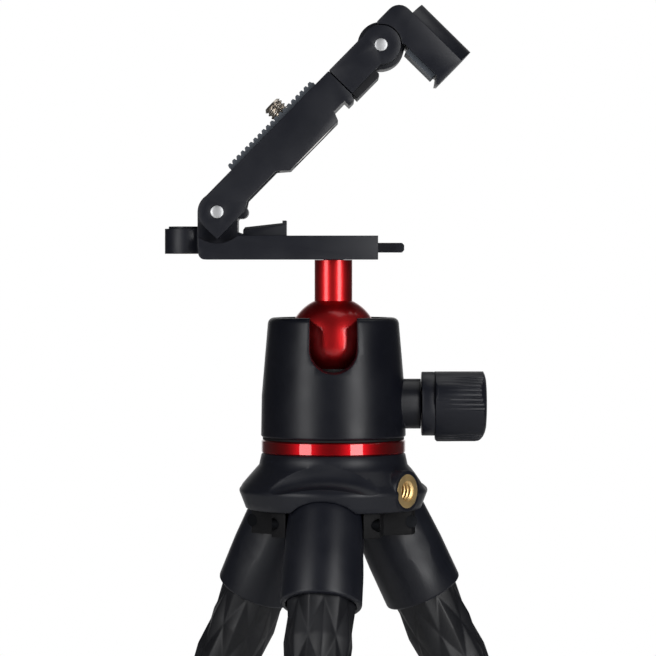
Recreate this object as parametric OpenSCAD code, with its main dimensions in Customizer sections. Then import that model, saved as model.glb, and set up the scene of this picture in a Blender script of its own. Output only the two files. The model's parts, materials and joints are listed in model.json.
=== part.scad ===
// Small ball-head tripod with three bendable rubber legs and a folding holder on top.
// Drawn about the head's turning axis with zero at the foot of the red ring, then
// lifted so that the origin is the middle of the floor under it. Millimetres, Z up.

/* [Ball head] */
// Outside diameter of the red ring and of the hub's collar
collar_d = 45; // [42:0.5:52]
// Height of the red ring
ring_h = 4.2; // [3:0.1:6]
// Open groove between the ring and the head
pan_groove = 0.75; // [0.4:0.05:1.5]
// Diameter of the head at its foot
head_foot_d = 45.2; // [44:0.2:50]
// Diameter of the head just under its top edge
head_top_d = 41; // [39:0.5:44]
// Height of the head itself
head_h = 37.3; // [36:0.1:40]
// Rounding of the head's top edge
head_round = 2; // [1:0.1:3]
// Thickness of the head's floor
head_floor = 3.3; // [2.5:0.1:4]
// Diameter of the ball
ball_d = 28; // [26:0.2:28.6]
// Height of the ball's centre above the foot of the ring
ball_z = 34.75; // [34:0.05:36]
// Diameter of the ball's stem
stem_d = 11.8; // [9:0.1:12.6]
// Height of the stem's top
stem_top_z = 60.2; // [58:0.1:66]
// Width of the tilt notch
notch_w = 14.4; // [13.4:0.1:16]
// Height of the bottom of the notch
notch_z = 25.6; // [25:0.1:27]
// How far the notch's edges are broken back on each side
notch_break = 0.4; // [0.2:0.1:3]

/* [Lock knob] */
// Height of the knob's axis
knob_z = 15.3; // [15:0.1:16.5]
// Diameter of the neck on the head
neck_d = 15.6; // [12:0.2:17]
// Where the neck ends, from the head's axis
neck_end = 27.2; // [26:0.1:30]
// Diameter of the collar behind the grip
knob_collar_d = 20; // [17:0.2:21]
// Thickness of that collar
knob_collar_t = 4.2; // [3:0.1:6]
// Diameter of the grip
knob_d = 23.6; // [22:0.2:24]
// How far its three flatter sides stand from its middle
knob_side = 10; // [9.6:0.1:11]
// Length of the grip
knob_l = 16; // [12:0.2:20]
// Number of fluted groups around the grip
knob_groups = 3; // [3:1:5]
// Flutes in a group
knob_flutes = 9; // [4:1:9]
// Diameter of the lock screw
lock_screw_d = 6; // [5:0.1:6.4]

/* [Hub and leg yoke] */
// Widest diameter of the hub's skirt
skirt_d = 58.8; // [57:0.2:62]
// Height of the hub
hub_h = 17.3; // [17:0.1:19]
// Diameter of the hub's lower edge
skirt_foot_d = 54.8; // [54:0.2:56.5]
// Radius of the scoop above each leg
scoop_r = 5.5; // [5.2:0.1:6.2]
// Radius of the arch that the scoop follows
scoop_arch = 50; // [40:1:70]
// Thickness of the leg yoke
yoke_h = 7.7; // [7:0.1:9]
// Outside radius of the yoke's blocks
yoke_r = 25.6; // [25.4:0.1:26.6]
// Width of the yoke's webs
yoke_web = 7; // [5:0.1:8]
// Thickness of the ears beside each leg
yoke_ear = 4.8; // [4:0.1:5]
// Outside diameter of the brass side insert
insert_d = 10.4; // [9:0.1:11]
// Height of the insert's axis below the ring
insert_drop = 10.9; // [10.6:0.1:11.2]
// Length of the side insert
insert_l = 8; // [6:0.1:9]

/* [Legs] */
// Direction of the first leg, seen from above
leg_yaw = -97; // [-110:1:-80]
// Lean of the legs from upright
leg_tilt = 26.5; // [22:0.5:29]
// Distance of the leg hinges from the axis
hinge_r = 19.2; // [19:0.1:20.4]
// Depth of the leg hinges below the ring
hinge_drop = 21; // [20.9:0.1:22]
// Diameter of the hinge pins
leg_pin_d = 4; // [3:0.1:4.4]
// Radius of the sleeve's domed top
dome_r = 11.85; // [11.4:0.05:12]
// Half the width between the sleeve's flats at the hinge
flat_half = 11.7; // [11.2:0.05:11.75]
// How far below the hinge the flats run out
flat_l = 19; // [18:0.5:22]
// Length of a sleeve below its hinge
sleeve_l = 26.5; // [24:0.5:36]
// Diameter of the sleeve at its mouth
mouth_d = 25; // [24.6:0.1:26]
// Depth of the rubber's seat in the sleeve
seat_l = 12; // [8:1:14]
// Diameter over the rubber's studs
grip_d = 21.6; // [20.6:0.1:21.8]
// Depth of the valleys between the studs
stud_relief = 1.15; // [0.4:0.05:1.3]
// Diamond studs around a leg
stud_count = 7; // [5:1:9]
// Length of a diamond stud
stud_l = 24; // [18:0.5:30]
// Half studs along a leg
stud_rows = 13; // [11:1:15]
// From the sleeve's mouth to the first bend
bend_first = 24; // [20:1:30]
// Distance between two bends
bend_step = 42; // [36:1:44]
// Diameter of the bendable core wire
core_d = 4; // [3:0.1:5]
// Diameter of a foot
foot_d = 24.4; // [24:0.1:27]
// Depth of the foot's socket on the rubber
foot_socket = 8; // [6:0.5:10]
// Thickness of rubber below the socket, to the middle of the foot's ball
foot_heel = 8; // [6:0.5:12]
// Depth of the flat that a foot stands on
foot_flat = 0.5; // [0.3:0.1:1]

/* [Holder base] */
// Width of the holder
holder_w = 24; // [22:0.5:28]
// Left end of the base plate, from the stem's axis
base_left = -41.7; // [-46:0.1:-41]
// Right end of the base plate
base_right = 13.8; // [12:0.1:18]
// Thickness of the base plate
base_t = 7.4; // [7:0.1:8]
// Rounding of the plate's lower corner
base_round = 2; // [0.5:0.1:3]
// Middle of the end boss
boss_x = -45.9; // [-50:0.1:-45]
// Diameter of the end boss
boss_d = 13.4; // [12:0.1:14]
// Height of the end boss
boss_h = 7.8; // [7:0.1:8.5]
// Diameter of the brass inserts in the base
base_insert_d = 9.2; // [8:0.1:9.6]
// Length of the latch tongue beyond the plate
tongue_l = 8.2; // [6:0.1:10]
// Thickness of the latch tongue
tongue_t = 3; // [2:0.1:3.4]
// Width of the latch tongue
tongue_w = 10; // [6:0.5:14]
// Where the support wedge ends on the right
wedge_right = -14.6; // [-16:0.1:-14.5]
// Length of the support wedge
wedge_l = 13.4; // [10:0.1:13.6]
// Height of the wedge at its high end
wedge_h = 3.5; // [2:0.1:3.6]
// Thickness of the rubber on the wedge
wedge_pad_t = 0.9; // [0.5:0.1:1]

/* [Folding arm] */
// Lower hinge, from the stem's axis
pivot_x = -35.9; // [-37:0.1:-35.5]
// Height of the lower hinge
pivot_z = 75; // [74.6:0.1:76]
// Slope of the arm as it stands
arm_angle = 45.5; // [30:0.5:60]
// Distance between the two hinges of the arm
arm_l = 72.2; // [71:0.1:82]
// Diameter of both hinge pins
fold_pin_d = 3.9; // [3:0.1:4.2]
// Outer face of the arm, from the line of the hinges
arm_out = 5.9; // [5.6:0.1:6.4]
// Inner face of the arm, from that line
arm_in = 4.1; // [3.8:0.1:4.4]
// Depth of the screw housing under the arm, from that line
arm_bulge = 7; // [6.6:0.1:7]
// Thickness of the arm's cheeks
cheek_t = 4; // [3:0.1:5]
// Thickness of the arm's outer and inner plates
arm_wall = 2; // [1.4:0.1:2.4]
// Start of the closed channel
channel_start = 22.5; // [22.3:0.1:24]
// End of the channel
channel_end = 55; // [54:0.1:60]
// Height of the arm's ribbed pad
rib_pad_t = 1.9; // [1.2:0.1:2.5]
// Distance between two ribs
rib_pitch = 1.85; // [1.4:0.05:3]
// Number of ribs
rib_count = 20; // [12:1:20]
// Where the ribbed pad starts
rib_start = 12.3; // [11:0.1:14]
// Where the camera screw stands on the arm
screw_at = 35.6; // [35:0.1:36.4]
// Diameter of the camera screw, a quarter inch
camera_screw_d = 6.35; // [6.3:0.01:6.4]
// Height of its tip above the arm's outer face
screw_up = 6; // [4:0.1:8]
// Diameter of the disc that turns it
disc_d = 18; // [14:0.2:19]
// Length of the slider's block beyond the channel
slider_pad_l = 10.2; // [8:0.1:11]

/* [Jaw] */
// Radius of the jaw's knuckle
knuckle_r = 7.3; // [6.8:0.1:7.5]
// Radius of the fork's round end
fork_r = 6.1; // [5.6:0.1:6.1]
// Gripping face of the jaw, beyond the hinge
jaw_face = 5.2; // [5:0.1:6]
// Thickness of the jaw's block
jaw_t = 8.6; // [7:0.1:10]
// Height of the jaw's rounded back
jaw_back = 4.65; // [3:0.05:6]
// Length of the jaw below the hinge
jaw_l = 21.1; // [18:0.1:26]
// Thickness of the rubber on the jaw
jaw_pad_t = 1.5; // [1:0.1:1.6]

/* [Fits] */
// Gap between parts that move past each other
run_gap = 0.3; // [0.2:0.05:0.4]
// Gap round a pin or screw
pin_gap = 0.05; // [0.03:0.01:0.08]
// Gap between parts that are fixed together
seat_gap = 0.03; // [0.02:0.01:0.05]

/* [Hidden] */
$fn = 64;
// A cut reaches this far past the faces it goes through
over = 1;
legs = 3;
leg_step = 360 / legs;
quarter_inch_r = camera_screw_d / 2;
thread_bore_r = quarter_inch_r + pin_gap / 2;

// Head
head_z = ring_h + pan_groove;
head_top_z = head_z + head_h;
ball_r = ball_d / 2;
cup_bore_r = ball_r + 0.4;
// Height of the barrel's slight lower taper
head_waist = 13;
// How deep the stud stands in the stem
stud_in = 10;
retainer_r = ball_r + 2.9;
retainer_h = 5;
retainer_z = head_top_z - 0.7 - retainer_h;
notch_r = notch_w / 2;
washer_r = 21;
bolt_r = 3;
nut_r = 5;
nut_h = 3.4;
nut_z = head_z + head_floor + run_gap;
wedge_z = nut_z + nut_h + 2 * run_gap;
cup_z = ball_z - ball_r - 0.85;
// The cup stops at the ball's lower shoulder and is open where the ball's lowest cap reaches through
cup_h = ball_r - 7.4;
cup_hole_r = ball_r - 8.6;
wedge_r = 10;
screw_tip = 3.5;
knob_start = neck_end + run_gap;
grip_start = knob_start + knob_collar_t;
grip_end = grip_start + knob_l;
knob_side_r = 0.72 * knob_d;
// Turn that brings a fluted side to the viewer's upper side
knob_phase = 7;

// Hub
collar_r = collar_d / 2;
skirt_r = skirt_d / 2;
collar_h = 3.6;
skirt_z = -11.6;
scoop_at = [collar_r + scoop_r + 0.1, -4.2];
yoke_z = -hub_h - yoke_h;
lobe_yaw = leg_yaw + leg_step / 2;
insert_face = skirt_r - 0.9;
yoke_screw_at = 15;
yoke_screw_r = 1.25;
// How deep those screws reach into the hub
yoke_screw_in = 6;
ear_half = flat_half + run_gap;
pin_half = ear_half + yoke_ear - run_gap;

// Legs, measured down from the hinge
half_stud = stud_l / 2;
grip_r = grip_d / 2;
grip_start_s = sleeve_l - seat_l;
grip_end_s = grip_start_s + stud_rows * half_stud;
bends = [for (i = [0:2]) sleeve_l + bend_first + i * bend_step];
// The widest turn of a bend, which sets how far a cup's rim stands off
bend_limit = 25;
rim_up = grip_r * sin(bend_limit) + 2 * run_gap;
bend_ball_r = grip_r - stud_relief - 2 * run_gap;
socket_r = grip_r + 0.12;
foot_r = foot_d / 2;
foot_s = grip_end_s + foot_heel;
core_from = grip_start_s - 6;
core_to = foot_s - 3;
foot_reach = hinge_r + foot_s * sin(leg_tilt);
floor_z = -hinge_drop - foot_s * cos(leg_tilt) - foot_r + foot_flat;

// The holder's parts
base_z = stem_top_z + 0.1;
base_top = base_z + base_t;
inner_half = holder_w / 2 - cheek_t;
knuckle_half = inner_half - run_gap;
trough_r = 9.7;
nose_reach = 9.4;
knuckle_base_r = 6.2;
wedge_half = 7;
tongue_z = base_z + 2.2;
tongue_root = 6;
boss_z = base_z + 1.8;
boss_ring_h = 0.7;

// The arm's parts, along the arm from its lower hinge
bulge_l = 21.2;
bulge_ramp = 3.3;
plate_start = 9.2;
cavity_out = arm_out - arm_wall;
cavity_in = -arm_in + arm_wall - 0.2;
tongue_from = channel_start + 1.5;
slide_slot_half = quarter_inch_r + 0.75;
spring_r = 1.2;
spring_y = (slide_slot_half + inner_half) / 2;
rib_l = rib_pitch * rib_count;
rib_pad_half = holder_w / 2 - 2;
disc_r = disc_d / 2;
disc_t = 2.4;
screw_neck_r = quarter_inch_r - 0.4;
block_start = channel_end + run_gap;
back_r = (holder_w * holder_w / 4 + jaw_back * jaw_back) / (2 * jaw_back);

// Where the axis stands over the middle of the floor
foot_x = [for (i = [0:legs - 1]) foot_reach * cos(leg_yaw + i * leg_step)];
foot_y = [for (i = [0:legs - 1]) foot_reach * sin(leg_yaw + i * leg_step)];
axis_at = [-(max(foot_x) + min(foot_x)) / 2, -(max(foot_y) + min(foot_y)) / 2, -floor_z];

// Colours
satin_black = "#1d1e21";
rubber_black = "#17181a";
anodised_red = "#b3161b";
brass = "#c79a4b";
steel = "#b9bcc0";
grey_rubber = "#5b626b";

// Places on the object

// Puts what is drawn about the turning axis into the part's own frame
module at_axis() { translate(axis_at) children(); }

// The frame of leg i at its hinge, with the leg running down local Z
module on_leg(i) {
    at_axis()
        rotate([0, 0, leg_yaw + i * leg_step])
            translate([hinge_r, 0, -hinge_drop])
                rotate([0, -leg_tilt, 0])
                    children();
}

// The frame of the arm at its lower hinge: X along the arm, Z out of its pad side
module on_arm() {
    at_axis()
        translate([pivot_x, 0, pivot_z])
            rotate([0, -arm_angle, 0])
                children();
}

// The frame of the jaw at the arm's upper hinge
module on_jaw() { on_arm() translate([arm_l, 0, 0]) children(); }

// Places children between the legs, with X outwards
module at_lobes() {
    for (i = [0:legs - 1])
        rotate([0, 0, lobe_yaw + i * leg_step])
            children();
}

// Shapes that repeat

// A plate whose outline lies in X and Z, with its thickness across Y
module across(half) {
    rotate([90, 0, 0])
        translate([0, 0, -half])
            linear_extrude(2 * half)
                children();
}

// A round bar across Y, centred on the local origin
module cross_pin(r, half) { rotate([90, 0, 0]) cylinder(h = 2 * half, r = r, center = true); }

// A round bar along X
module along_x(x0, x1, r) { translate([x0, 0, 0]) rotate([0, 90, 0]) cylinder(h = x1 - x0, r = r); }

// A brass insert with its bore, standing on Z
module threaded_insert(r, l) {
    difference() {
        cylinder(h = l, r = r);
        translate([0, 0, -over]) cylinder(h = l + 2 * over, r = thread_bore_r);
    }
}

// The tilt notch with its broken edges, open at the top
module tilt_notch() {
    axis_z = notch_z + notch_r;
    break_in = head_top_d / 2 - 3;
    break_out = head_foot_d / 2 + over;
    wide = notch_r + notch_break * (break_out - break_in) / 3;
    translate([0, 0, axis_z]) {
        rotate([90, 0, 0]) cylinder(h = break_out, r = notch_r);
        translate([0, -break_in, 0])
            rotate([90, 0, 0])
                cylinder(h = break_out - break_in, r1 = notch_r, r2 = wide);
        linear_extrude(head_top_z - axis_z + over)
            polygon([[-notch_r, 0], [notch_r, 0], [notch_r, -break_in], [wide, -break_out],
                [-wide, -break_out], [-notch_r, -break_in]]);
    }
}

// Hub

module hub_profile() {
    polygon(concat(
        [[0, ring_h + 0.4], [washer_r, ring_h + 0.4], [washer_r, 0], [collar_r - 0.4, 0],
            [collar_r, -0.4], [collar_r + 0.7, -collar_h], [skirt_r - 2.6, skirt_z + 3.9],
            [skirt_r - 1, skirt_z + 2]],
        [for (a = [50:-20:-30]) [skirt_r - 1.4 + 1.4 * cos(a), skirt_z + 1.4 * sin(a)]],
        [[skirt_foot_d / 2, -hub_h + 0.3], [skirt_foot_d / 2 - 0.5, -hub_h], [0, -hub_h]]));
}

module hub_shell() {
    color(satin_black)
        at_axis()
            difference() {
                union() {
                    rotate_extrude() hub_profile();
                    rotate([0, 0, lobe_yaw])
                        translate([0, 0, -insert_drop])
                            along_x(collar_r - 2, insert_face, insert_d / 2 + 1.1);
                }
                for (i = [0:legs - 1])
                    rotate([0, 0, leg_yaw + i * leg_step]) {
                        translate([scoop_at[0], 0, scoop_at[1] - scoop_arch])
                            rotate([0, 90, 0])
                                rotate_extrude()
                                    translate([scoop_arch, 0])
                                        circle(r = scoop_r);
                        translate([hinge_r, 0, -hinge_drop]) sphere(r = dome_r + 1.5 * run_gap);
                    }
                rotate([0, 0, lobe_yaw])
                    translate([0, 0, -insert_drop])
                        along_x(insert_face - insert_l, insert_face + over, insert_d / 2 + seat_gap);
                translate([0, 0, -hub_h - over])
                    cylinder(h = hub_h + head_z + 2 * over, r = bolt_r + pin_gap);
                at_lobes()
                    translate([yoke_screw_at, 0, -hub_h - over])
                        cylinder(h = yoke_screw_in + 3 * over, r = yoke_screw_r + seat_gap);
            }
}

module side_insert() {
    color(brass)
        at_axis()
            rotate([0, 0, lobe_yaw])
                translate([insert_face - insert_l, 0, -insert_drop])
                    rotate([0, 90, 0])
                        threaded_insert(insert_d / 2, insert_l);
}

// One third of the yoke: two ears that spread from a web to the middle
module yoke_third() {
    apex = ear_half / sin(leg_step / 2);
    inner = apex + yoke_ear / sin(leg_step / 2);
    reach = yoke_r * 1.2;
    spread = [reach * cos(leg_step / 2), reach * sin(leg_step / 2)];
    intersection() {
        circle(r = yoke_r);
        polygon([[apex, 0], [apex + spread[0], -spread[1]], [inner + spread[0], -spread[1]], [inner, 0],
            [inner + spread[0], spread[1]], [apex + spread[0], spread[1]]]);
    }
    translate([0, -yoke_web / 2]) square([apex + 3, yoke_web]);
}

module leg_yoke() {
    color(satin_black)
        at_axis()
            difference() {
                translate([0, 0, yoke_z])
                    linear_extrude(yoke_h) {
                        circle(r = yoke_web - 0.5);
                        at_lobes() yoke_third();
                    }
                translate([0, 0, yoke_z - over]) {
                    cylinder(h = yoke_h + 2 * over, r = bolt_r + pin_gap);
                    cylinder(h = over + 3.2, r = nut_r + run_gap);
                }
                at_lobes()
                    translate([yoke_screw_at, 0, yoke_z - over]) {
                        cylinder(h = yoke_h + 2 * over, r = yoke_screw_r + seat_gap);
                        cylinder(h = over + 2.5, r = 2 * yoke_screw_r + run_gap);
                    }
                for (i = [0:legs - 1])
                    rotate([0, 0, leg_yaw + i * leg_step])
                        translate([hinge_r, 0, -hinge_drop])
                            cross_pin(leg_pin_d / 2 + seat_gap, yoke_r);
            }
}

module yoke_screws() {
    color(steel)
        at_axis()
            at_lobes()
                translate([yoke_screw_at, 0, yoke_z + 0.3]) {
                    cylinder(h = 2.2, r = 2 * yoke_screw_r);
                    cylinder(h = yoke_h + yoke_screw_in, r = yoke_screw_r);
                }
}

module leg_pins() {
    color(steel)
        at_axis()
            for (i = [0:legs - 1])
                rotate([0, 0, leg_yaw + i * leg_step])
                    translate([hinge_r, 0, -hinge_drop])
                        cross_pin(leg_pin_d / 2, pin_half);
}

module hub_bolt() {
    color(steel)
        at_axis()
            translate([0, 0, yoke_z + 0.4]) {
                difference() {
                    cylinder(h = 2.8, r = nut_r);
                    translate([0, 0, -over]) cylinder(h = over + 1.8, r = 2.3, $fn = 6);
                }
                cylinder(h = nut_z + nut_h - yoke_z - 0.6, r = bolt_r);
            }
}

module pan_nut() {
    color(steel)
        at_axis()
            translate([0, 0, nut_z])
                difference() {
                    cylinder(h = nut_h, r = nut_r, $fn = 6);
                    translate([0, 0, -over]) cylinder(h = nut_h + 2 * over, r = bolt_r + seat_gap);
                }
}

module pan_ring() {
    bevel = 0.45;
    color(anodised_red)
        at_axis()
            rotate_extrude()
                polygon([[washer_r + seat_gap, 0], [collar_r - bevel, 0], [collar_r, bevel],
                    [collar_r, ring_h - bevel], [collar_r - bevel, ring_h], [washer_r + seat_gap, ring_h]]);
}

module pan_washer() {
    color(satin_black)
        at_axis()
            translate([0, 0, ring_h + 0.4])
                difference() {
                    cylinder(h = pan_groove - 0.4, r = washer_r);
                    translate([0, 0, -over]) cylinder(h = 3 * over, r = bolt_r + run_gap);
                }
}

// Head

module head_profile() {
    foot_r = head_foot_d / 2;
    top_r = head_top_d / 2;
    polygon(concat(
        [[0, head_z], [foot_r - 0.5, head_z], [foot_r, head_z + 0.5], [foot_r - 0.2, head_z + head_waist]],
        [for (a = [10:20:90]) [top_r - head_round + head_round * cos(a),
            head_top_z - head_round + head_round * sin(a)]],
        [[0, head_top_z]]));
}

module head_body() {
    color(satin_black)
        at_axis()
            difference() {
                union() {
                    rotate_extrude() head_profile();
                    translate([0, 0, knob_z]) along_x(cup_bore_r + 2, neck_end, neck_d / 2);
                }
                translate([0, 0, head_z - over])
                    cylinder(h = head_floor + 2 * over, r = bolt_r + pin_gap);
                translate([0, 0, head_z + head_floor])
                    cylinder(h = head_h, r = cup_bore_r);
                translate([0, 0, retainer_z])
                    cylinder(h = head_h, r = retainer_r + seat_gap);
                translate([0, 0, knob_z]) along_x(0, neck_end + over, lock_screw_d / 2 + pin_gap);
                tilt_notch();
            }
}

module ball_retainer() {
    hole_at = (retainer_r + ball_r) / 2 - 0.4;
    color(satin_black)
        at_axis()
            difference() {
                translate([0, 0, retainer_z]) cylinder(h = retainer_h, r = retainer_r);
                translate([0, 0, ball_z]) sphere(r = ball_r + 2 * pin_gap);
                tilt_notch();
                for (a = [30:40:150])
                    rotate([0, 0, a])
                        translate([hole_at, 0, retainer_z + retainer_h - 1.5])
                            cylinder(h = 1.5 + over, r = 0.9);
            }
}

module ball_cup() {
    color(satin_black)
        at_axis()
            difference() {
                translate([0, 0, cup_z]) cylinder(h = cup_h, r = cup_bore_r - pin_gap);
                translate([0, 0, ball_z]) sphere(r = ball_r + pin_gap);
                translate([0, 0, cup_z - over]) cylinder(h = cup_h, r = cup_hole_r);
            }
}

module clamp_wedge() {
    tip_l = lock_screw_d / 2;
    color(steel)
        at_axis()
            difference() {
                translate([0, 0, wedge_z]) cylinder(h = cup_z - wedge_z, r = wedge_r);
                translate([screw_tip - pin_gap, 0, knob_z])
                    rotate([0, 90, 0]) {
                        cylinder(h = tip_l, r1 = 0.6, r2 = lock_screw_d / 2 + pin_gap);
                        translate([0, 0, tip_l - 0.001])
                            cylinder(h = wedge_r, r = lock_screw_d / 2 + pin_gap);
                    }
            }
}

module ball_stem() {
    color(anodised_red)
        at_axis()
            difference() {
                union() {
                    translate([0, 0, ball_z]) sphere(r = ball_r, $fn = 96);
                    translate([0, 0, ball_z]) cylinder(h = stem_top_z - ball_z, r = stem_d / 2);
                }
                translate([0, 0, stem_top_z - stud_in - 2 * pin_gap])
                    cylinder(h = stud_in + 2 * pin_gap + over, r = quarter_inch_r + seat_gap);
            }
}

module stem_stud() {
    color(steel)
        at_axis()
            translate([0, 0, stem_top_z - stud_in])
                cylinder(h = stud_in + base_t - 1.6, r = quarter_inch_r - 2 * pin_gap);
}

// Lock knob

module lock_screw() {
    tip_l = lock_screw_d / 2;
    color(steel)
        at_axis()
            translate([screw_tip, 0, knob_z])
                rotate([0, 90, 0]) {
                    cylinder(h = tip_l, r1 = 0.5, r2 = lock_screw_d / 2);
                    translate([0, 0, tip_l])
                        cylinder(h = grip_end - 4 - screw_tip - tip_l, r = lock_screw_d / 2);
                }
}

module knob_collar() {
    color(satin_black)
        at_axis()
            translate([knob_start, 0, knob_z])
                rotate([0, 90, 0])
                    difference() {
                        cylinder(h = knob_collar_t, r = knob_collar_d / 2);
                        translate([0, 0, -over])
                            cylinder(h = knob_collar_t + 2 * over, r = lock_screw_d / 2 + seat_gap);
                    }
}

module knob_profile() {
    edge = 5.4;
    dome = 3.4;
    r = knob_d / 2;
    polygon(concat([[0, 0], [r - 0.6, 0], [r, 0.6]],
        [for (a = [0:15:90]) [r - edge + edge * cos(a), knob_l - dome + dome * sin(a)]],
        [[0, knob_l]]));
}

// How far the grip's outside is from its middle, at an angle from the nearest flatter side
function knob_reach(turn) =
    let (back = knob_side_r - knob_side)
    min(knob_d / 2, sqrt(pow(knob_side_r, 2) - pow(back * sin(turn), 2)) - back * cos(turn));

module lock_knob() {
    group_step = 360 / knob_groups;
    flute_r = 0.62;
    flute_step = 7.3;
    flute_from = 4.6;
    flute_lean = 4;
    color(satin_black)
        at_axis()
            translate([grip_start, 0, knob_z])
                rotate([0, 90, 0])
                    rotate([0, 0, knob_phase])
                        difference() {
                            intersection() {
                                rotate_extrude() knob_profile();
                                intersection_for (g = [0:knob_groups - 1])
                                    rotate([0, 0, (g + 0.5) * group_step])
                                        translate([knob_side - knob_side_r, 0, -over])
                                            cylinder(h = knob_l + 2 * over, r = knob_side_r);
                            }
                            for (g = [0:knob_groups - 1], f = [0:knob_flutes - 1])
                                let (turn = (f - (knob_flutes - 1) / 2) * flute_step,
                                    reach = knob_reach(group_step / 2 - abs(turn)))
                                    rotate([0, 0, g * group_step + turn])
                                        translate([reach + flute_r, 0, flute_from])
                                            rotate([0, -flute_lean, 0])
                                                cylinder(h = knob_l, r = flute_r, $fn = 24);
                            translate([0, 0, -over])
                                cylinder(h = knob_l - 4 + over, r = lock_screw_d / 2 + seat_gap);
                        }
}

// Legs

// Point k of ring m on the rubber, high and low in turn so that the rows are staggered
function stud_radius(k, m) = (k + m) % 2 == 0 ? grip_r : grip_r - stud_relief;
function stud_point(k, m) =
    let (a = (k + 0.5) * 180 / stud_count, r = stud_radius(k, m))
    [r * cos(a), r * sin(a), -grip_start_s - m * half_stud];

// The rubber of a whole leg: diamond studs folded along straight ridges
module studded_rubber() {
    n = 2 * stud_count;
    function at(k, m) = m * n + k % n;
    polyhedron(
        points = [for (m = [0:stud_rows], k = [0:n - 1]) stud_point(k, m)],
        faces = concat(
            [[for (k = [n - 1:-1:0]) at(k, 0)], [for (k = [0:n - 1]) at(k, stud_rows)]],
            [for (m = [0:stud_rows - 1], k = [0:n - 1])
                (k + m) % 2 == 0 ? [at(k, m), at(k + 1, m), at(k, m + 1)]
                    : [at(k, m), at(k + 1, m), at(k + 1, m + 1)]],
            [for (m = [0:stud_rows - 1], k = [0:n - 1])
                (k + m) % 2 == 0 ? [at(k + 1, m), at(k + 1, m + 1), at(k, m + 1)]
                    : [at(k, m), at(k + 1, m + 1), at(k, m + 1)]]));
}

// One stretch of rubber between two bends: a ball at its top turns in the cup above it
module grip(i, part) {
    first = part == 0;
    last = part == len(bends);
    from = first ? grip_start_s : bends[part - 1];
    to = last ? grip_end_s : bends[part] - rim_up;
    color(rubber_black)
        on_leg(i)
            difference() {
                intersection() {
                    studded_rubber();
                    union() {
                        translate([0, 0, -to]) cylinder(h = to - from, r = foot_r);
                        if (!first) translate([0, 0, -from]) sphere(r = bend_ball_r);
                    }
                }
                if (!last) translate([0, 0, -bends[part]]) sphere(r = bend_ball_r + run_gap);
                translate([0, 0, -grip_end_s - over])
                    cylinder(h = grip_end_s, r = core_d / 2 + pin_gap);
            }
}

module sleeve_profile() {
    r = mouth_d / 2;
    lip = 0.9;
    polygon(concat(
        [for (a = [90:-10:0]) [dome_r * cos(a), dome_r * sin(a)]],
        [[(dome_r + r) / 2 + 0.25, -sleeve_l * 0.45], [r, -sleeve_l + 2]],
        [for (a = [0:-30:-90]) [r - lip + lip * cos(a), -sleeve_l + lip + lip * sin(a)]],
        [[socket_r, -sleeve_l], [socket_r, -grip_start_s + run_gap], [0, -grip_start_s + run_gap]]));
}

// The sleeve's flats: straight beside the ears, then running out into the round
module sleeve_side() {
    top = dome_r + over;
    straight = flat_l / 2;
    foot = sleeve_l + over;
    half = mouth_d / 2 + over;
    polygon([[-flat_half, top], [flat_half, top], [flat_half, -straight], [mouth_d / 2, -flat_l],
        [half, -foot], [-half, -foot], [-mouth_d / 2, -flat_l], [-flat_half, -straight]]);
}

module sleeve(i) {
    color(satin_black)
        on_leg(i)
            difference() {
                intersection() {
                    rotate_extrude() sleeve_profile();
                    rotate([0, 0, 90]) across(mouth_d) sleeve_side();
                }
                cross_pin(leg_pin_d / 2 + pin_gap, dome_r + over);
                translate([0, 0, -grip_start_s])
                    cylinder(h = grip_start_s - core_from + over, r = core_d / 2 + seat_gap);
            }
}

module core(i) {
    color(steel)
        on_leg(i)
            translate([0, 0, -core_to]) cylinder(h = core_to - core_from, r = core_d / 2);
}

module foot_profile() {
    lip = 0.6;
    top = -grip_end_s + foot_socket;
    polygon(concat(
        [[0, -grip_end_s - seat_gap], [socket_r, -grip_end_s - seat_gap], [socket_r, top],
            [foot_r - lip, top], [foot_r, top - lip]],
        [for (a = [0:-10:-90]) [foot_r * cos(a), -foot_s + foot_r * sin(a)]]));
}

module foot(i) {
    color(rubber_black)
        difference() {
            on_leg(i)
                difference() {
                    rotate_extrude() foot_profile();
                    translate([0, 0, -core_to - pin_gap]) cylinder(h = core_to, r = core_d / 2 + seat_gap);
                }
            translate([-2 * foot_reach, -2 * foot_reach, -foot_r])
                cube([4 * foot_reach, 4 * foot_reach, foot_r]);
        }
}

// Holder base

module base_profile() {
    difference() {
        union() {
            translate([base_left, base_z + base_round])
                square([base_right - base_left, base_t - base_round]);
            translate([base_left + base_round, base_z])
                square([base_right - base_left - base_round, base_round]);
            translate([base_left + base_round, base_z + base_round]) circle(r = base_round);
        }
        translate([pivot_x, pivot_z]) circle(r = trough_r);
    }
}

// Upright between the arm's cheeks, with the nose that the arm shuts on
module knuckle_profile() {
    nose_r = 2;
    translate([pivot_x, pivot_z]) {
        circle(r = knuckle_base_r);
        translate([0, -nose_r]) square([nose_reach - nose_r, 2 * nose_r]);
        translate([nose_reach - nose_r, 0]) circle(r = nose_r);
    }
    foot_z = base_z + base_t / 2;
    translate([pivot_x - knuckle_base_r, foot_z])
        square([2 * knuckle_base_r, pivot_z - foot_z]);
    polygon([[base_left, foot_z], [pivot_x + trough_r, foot_z], [pivot_x + trough_r, base_top],
        [pivot_x + knuckle_base_r, base_top + 1.2], [pivot_x - knuckle_base_r, base_top + 2.4],
        [base_left, base_top]]);
}

module wedge_profile() {
    polygon([[wedge_right - wedge_l, base_top - 1], [wedge_right, base_top - 1],
        [wedge_right, base_top + wedge_h], [wedge_right - wedge_l, base_top + wedge_h / 2]]);
}

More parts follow.
